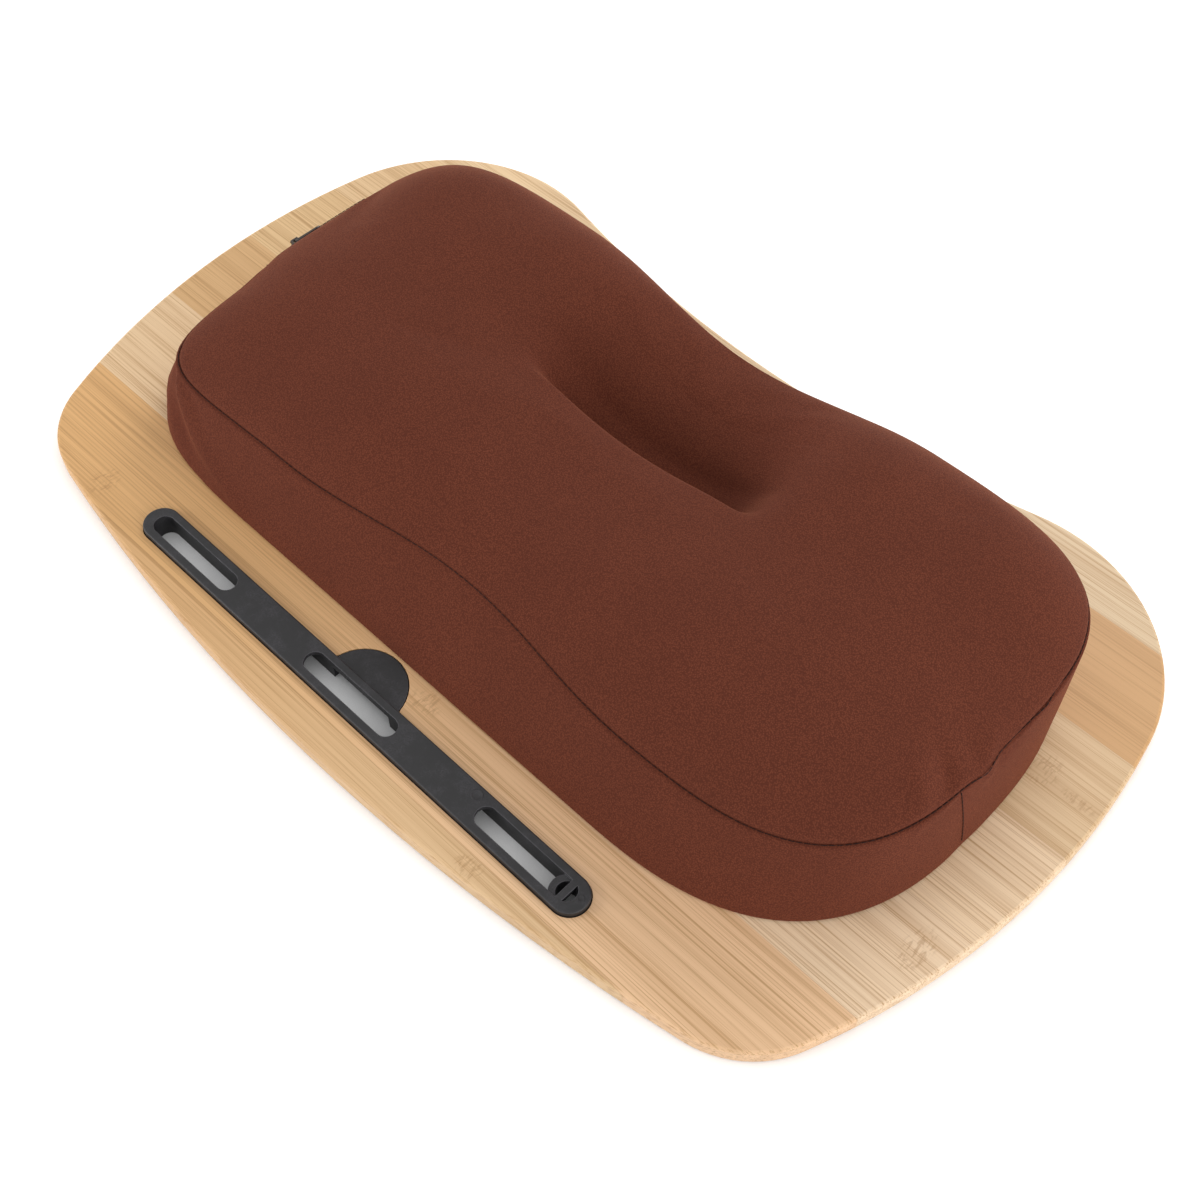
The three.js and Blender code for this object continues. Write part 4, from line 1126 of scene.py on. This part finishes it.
# Soft folds of the cover: points along the fold, width and height, in millimetres
FOLDS = (
    (((222, 19, 66), (236, 4, 53)), 4.0, 2.2),
    (((231, 20, 62), (238, 12, 53)), 4.0, -2.6),
    (((213, -18, 69), (229, -33, 57)), 5.0, 2.2),
    (((217, -7, 68), (233, -18, 56)), 4.0, -2.4),
    (((-190, -84, 47), (-182, -90, 40), (-160, -101, 30), (-120, -108, 18)), 4.0, 3.4),
    (((-190, -88, 30), (-178, -97, 24), (-152, -105, 15)), 4.5, -2.6),
    (((-203, -58, 40), (-196, -76, 40), (-188, -88, 37)), 4.0, -2.8),
    (((-212, -62, 25), (-202, -80, 25), (-188, -93, 24)), 7.0, 2.0),
)

# How many widths a fold reaches, and how far its height has risen at its ends, as a share of half a wave
FOLD_REACH = 3
FOLD_END = 0.08

# Distance from the seam at which a fold is gone, and how far it takes to fade
FOLD_SEAM_GAP = 1 * MM
FOLD_SEAM_FADE = 3.5 * MM


def nearest_on(path, point):
    """Distance from a point to a path of points, and the share of the path's length there"""
    best = (math.inf, 0.0)
    for i in range(len(path) - 1):
        along = path[i + 1] - path[i]
        t = max(0.0, min(1.0, (point - path[i]).dot(along) / along.length_squared))
        distance = (point - path[i] - along * t).length
        if distance < best[0]:
            best = (distance, (i + t) / (len(path) - 1))
    return best


def fold_cover(piece, form):
    """Adds the soft folds to the pressed cover. They fade out at the seam."""
    seam = [form.seam_point(place) for place in form.places(FINER * RUN_STEPS, FINER * END_STEPS)]
    tree = KDTree(len(seam))
    for i, point in enumerate(seam):
        tree.insert(point, i)
    tree.balance()
    mesh = piece.data
    normals = [vertex.normal.copy() for vertex in mesh.vertices]
    for path, width, height in FOLDS:
        line = [Vector(point) * MM for point in path]
        low = Vector([min(point[k] for point in line) for k in range(3)])
        high = Vector([max(point[k] for point in line) for k in range(3)])
        reach = FOLD_REACH * width * MM
        for vertex, normal in zip(mesh.vertices, normals):
            if any(not low[k] - reach < vertex.co[k] < high[k] + reach for k in range(3)):
                continue
            distance, share = nearest_on(line, vertex.co)
            fade = math.sin(math.pi * (FOLD_END + (1 - 2 * FOLD_END) * share))
            fade *= smooth_step((tree.find(vertex.co)[2] - FOLD_SEAM_GAP) / FOLD_SEAM_FADE)
            vertex.co += normal * (height * MM * fade * bell(distance, width * MM))
    mesh.update()


# Stitching and zip

# Share of the seam's tuck at which its thread lies
SEAM_THREAD_TUCK = 0.75

# Thread of an upright join: where it starts and ends on the band, how far it lies in, and its points
JOIN_THREAD_START = 0.06
JOIN_THREAD_END = 0.99
JOIN_THREAD_TUCK = 0.8 * MM
JOIN_THREAD_STEPS = 40

# Heights of the sewing lines on each tape, as shares of the band
TAPE_STITCH_LEVELS = {"zip_tape_lower": (0.14, 0.19), "zip_tape_upper": (0.81, 0.86)}

# Sewing lines of the tapes: distance from each end of the tape, height off the band, and their points
TAPE_THREAD_START = 4 * MM
TAPE_THREAD_END = 1 * MM
TAPE_THREAD_OUT = 0.75 * MM
TAPE_THREAD_STEPS = 30

# The zip's level on the band, and the steps along and up the band that its directions are taken over
ZIP_LEVEL = 0.5
ZIP_LEVEL_STEP = 0.05
ZIP_STEP = 1 * MM

# One turn of a coil: distance across from the zip's middle line and out of the band, in millimetres
COIL_TURN = ((1.95, 0.5), (1.7, 0.95), (1.1, 1.25), (0.3, 1.25), (-0.2, 0.9), (-0.25, 0.5))

# How far each coil's turns are shifted along the zip so that the two mesh, as a share of their pitch
COIL_SHIFT = 0.25


def zip_frame(form, y):
    """A point of the zip's middle line, with its directions up the band and out of it"""
    place = form.left_place(y)
    middle = form.band_point(place, ZIP_LEVEL)
    above = form.band_point(place, ZIP_LEVEL + ZIP_LEVEL_STEP)
    below = form.band_point(place, ZIP_LEVEL - ZIP_LEVEL_STEP)
    up = (above - below).normalized()
    along = (form.band_point(form.left_place(y + ZIP_STEP), ZIP_LEVEL) - middle).normalized()
    return middle, up, up.cross(along).normalized()


def coil_turns(form, zipper, side, low, high):
    """Points and faces of the turns of one coil, on the lower (-1) or the upper (1) side of the zip"""
    count = int((high.y - low.y) / zipper.tooth_pitch)
    turns = []
    for k in range(count):
        y = low.y + (k + 0.5 + COIL_SHIFT * side) * (high.y - low.y) / count
        middle, up, out = zip_frame(form, y)
        path = [middle + up * (side * across * MM) + out * (height * MM) for across, height in COIL_TURN]
        turns.append(tube(path, [zipper.tooth_radius] * len(path)))
    return joined(turns)


def tape_line(form, low, high, level):
    """A sewing line along a tape, at a level of the band"""
    start = low.y + TAPE_THREAD_START
    run = high.y - TAPE_THREAD_END - start
    spots = [form.left_place(start + run * step / TAPE_THREAD_STEPS) for step in range(TAPE_THREAD_STEPS + 1)]
    return [form.band_point(place, level, TAPE_THREAD_OUT) for place in spots]


def join_line(form, place):
    """The thread's line up an upright join of the band"""
    run = JOIN_THREAD_END - JOIN_THREAD_START
    shares = [JOIN_THREAD_START + run * step / JOIN_THREAD_STEPS for step in range(JOIN_THREAD_STEPS + 1)]
    bulge = JOIN_BULGE * form.pad.bulge
    return [form.band_point(place, share, -JOIN_THREAD_TUCK, bulge) for share in shares]


# Castings: how near points are joined, how flat faces are joined, and how sharp an edge is that is rounded
WELD = 0.01 * MM
FLAT_ANGLE = math.radians(1)
SHARP_ANGLE = math.radians(50)

# Rim round a panel that is sunk into a casting, and the width of the panel's sloping side
PANEL_RIM = 0.35 * MM
PANEL_SLOPE = 0.25 * MM


def cast_piece(node, name, material, body, rounding, recess):
    """Copies a node as a casting with rounded edges, and sinks a panel into its two broad faces."""
    mesh = bmesh.new()
    mesh.from_mesh(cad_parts[node].data)
    bmesh.ops.remove_doubles(mesh, verts=mesh.verts, dist=WELD)
    bmesh.ops.dissolve_limit(
        mesh, angle_limit=FLAT_ANGLE, use_dissolve_boundaries=False, verts=mesh.verts, edges=mesh.edges)
    sharp = [edge for edge in mesh.edges if edge.calc_face_angle() > SHARP_ANGLE]
    bmesh.ops.bevel(mesh, geom=sharp, offset=rounding, segments=3, profile=0.5, affect="EDGES")
    if recess:
        broad = sorted(mesh.faces, key=lambda face: face.calc_area())[-2:]
        bmesh.ops.inset_individual(mesh, faces=broad, thickness=PANEL_RIM)
        bmesh.ops.inset_individual(mesh, faces=broad, thickness=PANEL_SLOPE, depth=-recess)
    data = bpy.data.meshes.new(name)
    mesh.to_mesh(data)
    mesh.free()
    data.materials.append(material)
    data.shade_smooth()
    piece = bpy.data.objects.new(name, data)
    bpy.context.scene.collection.objects.link(piece)
    weighted = piece.modifiers.new("Even shading", "WEIGHTED_NORMAL")
    weighted.keep_sharp = False
    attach(piece, body)
    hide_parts(node)


# Stage

# Half the width of the paper sweep in metres, and how far it lies under the desk
PAPER_HALF = 6.0
PAPER_DROP = 0.2 * MM

# Softboxes: name, place and width in metres, and the setting that holds the power
SOFTBOXES = (
    ("back_softbox", (-0.25, 1.25, 0.8), 1.0, "back_power"),
    ("right_softbox", (1.45, 0.0, 0.45), 0.9, "side_power"),
    ("left_softbox", (-1.0, -1.25, 0.42), 0.8, "fill_power"),
)


def camera_matrix(stage):
    """Place and turn of the camera"""
    turn = stage.azimuth
    rise = stage.elevation
    back = Vector((math.sin(turn) * math.cos(rise), -math.cos(turn) * math.cos(rise), math.sin(rise)))
    level = Vector((math.cos(turn), math.sin(turn), 0))
    upright = back.cross(level)
    right = level * math.cos(stage.roll) + upright * math.sin(stage.roll)
    up = upright * math.cos(stage.roll) - level * math.sin(stage.roll)
    aim = Vector((stage.aim_x, stage.aim_y, 0))
    return Matrix.Translation(aim + back * stage.distance) @ Matrix((right, up, back)).transposed().to_4x4()


# Operators


class LAPDESK_OT_bamboo_board(bpy.types.Operator):
    """Dress the seven planks of the board"""

    bl_idname = "lapdesk.bamboo_board"
    bl_label = "Bamboo board"

    def execute(self, context):
        board = context.scene.lap_desk_board
        for number, tones in enumerate(PLANK_TONES, 1):
            knuckles = []
            for plank, middle, reach in KNUCKLES:
                if plank == number:
                    centre = tuple(value * MM for value in (*middle, KNUCKLE_LEVEL))
                    knuckles.append((centre, tuple(value * MM for value in (*reach, KNUCKLE_DEPTH))))
            dress(f"bamboo_plank_{number}", bamboo_material(board, number, tones, knuckles))
        return {"FINISHED"}


class LAPDESK_OT_media_insert(bpy.types.Operator):
    """Dress the moulded media slot insert"""

    bl_idname = "lapdesk.media_insert"
    bl_label = "Media slot insert"

    def execute(self, context):
        insert = context.scene.lap_desk_insert
        dress("media_slot_insert", moulding_material("Black moulded ABS", insert, insert.edge))
        marked = moulding_material("Black moulded ABS, pressed by pins", insert, insert.mark_edge)
        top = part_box("media_slot_insert")[1].z
        verts, faces = joined([ejector_mark(x, y, radius, top) for x, y, radius in EJECTOR_MARKS])
        new_piece("ejector_marks", verts, faces, marked, "board")
        return {"FINISHED"}


class LAPDESK_OT_fastening_strips(bpy.types.Operator):
    """Dress the hook strips, the loop strips and the tie inside the pad"""

    bl_idname = "lapdesk.fastening_strips"
    bl_label = "Fastening strips"

    def execute(self, context):
        strips = context.scene.lap_desk_strips
        hooks = pile_material("Nylon hook pile", strips.hook, strips.hook_spacing, strips.hook_height)
        loops = pile_material("Nylon loop pile", strips.loop, strips.loop_spacing, strips.loop_height)
        for number in (1, 2, 3, 4):
            dress(f"hook_strip_{number}", hooks)
            dress(f"loop_strip_{number}", loops)
        web = yarn_material("Woven cotton tape", strips.web, strips.web_spacing, roughness=0.85)
        dress("dimple_tie_web", web)
        return {"FINISHED"}


class LAPDESK_OT_pad_cushion(bpy.types.Operator):
    """Sew and fill the pad"""

    bl_idname = "lapdesk.pad_cushion"
    bl_label = "Pad"

    def execute(self, context):
        pad = context.scene.lap_desk_pad
        form = PadForm(pad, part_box("cover_base_panel")[0].z)
        points, faces, held, sewn = pad_mesh(form)
        cushion = new_piece("pad_cushion", points, faces, knit_material(pad), "cushion")
        sharp = cushion.data.attributes.new("crease_edge", "FLOAT", "EDGE")
        for indices in sewn:
            line = set(indices)
            for edge in cushion.data.edges:
                if line.issuperset(edge.vertices):
                    sharp.data[edge.index].value = 1.0
        press_out(cushion, held, form)
        fine = cushion.modifiers.new("Fine", "SUBSURF")
        fine.levels = fine.render_levels = 1
        context.view_layer.update()
        smooth = bpy.data.meshes.new_from_object(cushion.evaluated_get(context.evaluated_depsgraph_get()))
        cushion.modifiers.remove(fine)
        cushion.data = smooth
        fold_cover(cushion, form)
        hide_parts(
            "cover_top_panel", "cover_band_outer", "cover_band_user", "cover_base_panel",
            "inner_pad")
        return {"FINISHED"}


class LAPDESK_OT_pad_stitching(bpy.types.Operator):
    """Sew the thread along the pad's top seam and its two upright joins"""

    bl_idname = "lapdesk.pad_stitching"
    bl_label = "Pad stitching"

    def execute(self, context):
        pad = context.scene.lap_desk_pad
        form = PadForm(pad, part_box("cover_base_panel")[0].z)
        around = form.places(FINER * RUN_STEPS, FINER * END_STEPS)
        # Partly painted shade: the dark stitches lie in the seam's valley and draw its dark line, as well as
        # being the seam's thread
        seam = [form.seam_point(place, SEAM_THREAD_TUCK) for place in around]
        places = form.places(RUN_STEPS, END_STEPS)
        lines = [seam + seam[:1]]
        lines += [join_line(form, places[column]) for column in join_columns(form, places)]
        rows = []
        for line in lines:
            rows += stitches(line, pad.stitch_pitch, pad.stitch)
        verts, faces = joined(rows)
        thread = yarn_material("Polyester thread", pad.thread, pad.thread_twist, roughness=0.7)
        new_piece("pad_stitching", verts, faces, thread, "cushion")
        return {"FINISHED"}


class LAPDESK_OT_zip(bpy.types.Operator):
    """Weave the tapes, sew them down and wind the coils of the zip"""

    bl_idname = "lapdesk.zip"
    bl_label = "Zip"

    def execute(self, context):
        zipper = context.scene.lap_desk_zip
        pad = context.scene.lap_desk_pad
        form = PadForm(pad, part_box("cover_base_panel")[0].z)
        nylon = nylon_material(zipper)
        for side, node in ((-1, "zip_coil_lower"), (1, "zip_coil_upper")):
            low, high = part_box(node)
            verts, faces = coil_turns(form, zipper, side, low, high)
            coil = new_piece(node.replace("coil", "teeth"), verts, faces, nylon, "cushion")
            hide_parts(node)

        tape = yarn_material("Woven polyester tape", zipper.tape, zipper.tape_weave, roughness=0.8)
        rows = []
        for node, levels in TAPE_STITCH_LEVELS.items():
            dress(node, tape)
            low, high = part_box(node)
            for level in levels:
                rows += stitches(tape_line(form, low, high, level), zipper.stitch_pitch, pad.stitch)
        verts, faces = joined(rows)
        thread = yarn_material("Polyester zip thread", pad.thread, pad.thread_twist, roughness=0.7)
        new_piece("zip_stitching", verts, faces, thread, "cushion")
        return {"FINISHED"}


class LAPDESK_OT_zip_runner(bpy.types.Operator):
    """Cast the zip's slider and its pull, and dress its two stops"""

    bl_idname = "lapdesk.zip_runner"
    bl_label = "Zip slider, pull and stops"

    def execute(self, context):
        zipper = context.scene.lap_desk_zip
        metal = zip_metal_material(zipper)
        dress("zip_stop_closed", metal)
        dress("zip_stop_open", metal)
        cast_piece("zip_slider", "zip_slider_casting", metal, "slider", zipper.slider_rounding, recess=0.0)
        cast_piece("zip_pull", "zip_pull_casting", metal, "pull", zipper.pull_rounding, zipper.pull_recess)
        return {"FINISHED"}


class LAPDESK_OT_stage(bpy.types.Operator):
    """Set the floor, the lamps and the camera"""

    bl_idname = "lapdesk.stage"
    bl_label = "Stage"

    def execute(self, context):
        scene = context.scene
        stage = scene.lap_desk_stage
        corners = [(x * PAPER_HALF, y * PAPER_HALF, 0) for x, y in ((-1, -1), (1, -1), (1, 1), (-1, 1))]
        mesh = bpy.data.meshes.new("paper_sweep")
        mesh.from_pydata(corners, [], [(0, 1, 2, 3)])
        mesh.materials.append(floor_material(stage))
        floor = bpy.data.objects.new("paper_sweep", mesh)
        floor.location.z = -PAPER_DROP
        scene.collection.objects.link(floor)

        for name, place, size, power in SOFTBOXES:
            light = bpy.data.lights.new(name, "AREA")
            light.energy = getattr(stage, power)
            light.size = size
            lamp = bpy.data.objects.new(name, light)
            lamp.location = place
            lamp.rotation_euler = (-Vector(place)).to_track_quat("-Z", "Y").to_euler()
            scene.collection.objects.link(lamp)

        world = bpy.data.worlds.new("White studio")
        scene.world = world
        world.use_nodes = True
        tree = world.node_tree
        tree.nodes.clear()
        strength = add_node(
            tree, "ShaderNodeMapRange", inputs={VALUE: seen_rays(tree), TO_LOW: stage.sky, TO_HIGH: 1.0})
        sky = add_node(
            tree, "ShaderNodeBackground",
            inputs={"Color": hex_colour("ffffff"), "Strength": strength.outputs[0]})
        add_node(tree, "ShaderNodeOutputWorld", inputs={"Surface": sky.outputs[0]})
        scene.view_settings.view_transform = "Standard"

        lens = bpy.data.cameras.new("photo_camera")
        lens.sensor_width = 36
        lens.sensor_fit = "HORIZONTAL"
        lens.lens = stage.lens
        camera = bpy.data.objects.new("photo_camera", lens)
        scene.collection.objects.link(camera)
        camera.matrix_world = camera_matrix(stage)
        scene.camera = camera
        return {"FINISHED"}


class LAPDESK_PT_sidebar(bpy.types.Panel):
    """Steps that dress the lap desk, in order"""

    bl_idname = "LAPDESK_PT_sidebar"
    bl_label = "Lap Desk"
    bl_space_type = "VIEW_3D"
    bl_region_type = "UI"
    bl_category = "Lap Desk"

    def draw(self, context):
        for step in STEPS:
            self.layout.operator(step.bl_idname)


STEPS = (
    LAPDESK_OT_stage,
    LAPDESK_OT_bamboo_board,
    LAPDESK_OT_media_insert,
    LAPDESK_OT_fastening_strips,
    LAPDESK_OT_pad_cushion,
    LAPDESK_OT_pad_stitching,
    LAPDESK_OT_zip,
    LAPDESK_OT_zip_runner,
)
SETTINGS = {
    "lap_desk_board": LapDeskBoard,
    "lap_desk_insert": LapDeskInsert,
    "lap_desk_strips": LapDeskStrips,
    "lap_desk_pad": LapDeskPad,
    "lap_desk_zip": LapDeskZip,
    "lap_desk_stage": LapDeskStage,
}


def register():
    for name, group in SETTINGS.items():
        bpy.utils.register_class(group)
        setattr(bpy.types.Scene, name, PointerProperty(type=group))
    for step in STEPS:
        bpy.utils.register_class(step)
    bpy.utils.register_class(LAPDESK_PT_sidebar)


def unregister():
    bpy.utils.unregister_class(LAPDESK_PT_sidebar)
    for step in reversed(STEPS):
        bpy.utils.unregister_class(step)
    for name, group in SETTINGS.items():
        delattr(bpy.types.Scene, name)
        bpy.utils.unregister_class(group)


def main():
    register()
    bpy.ops.lapdesk.stage()
    bpy.ops.lapdesk.bamboo_board()
    bpy.ops.lapdesk.media_insert()
    bpy.ops.lapdesk.fastening_strips()
    bpy.ops.lapdesk.pad_cushion()
    bpy.ops.lapdesk.pad_stitching()
    bpy.ops.lapdesk.zip()
    bpy.ops.lapdesk.zip_runner()


if __name__ == "__main__":
    main()
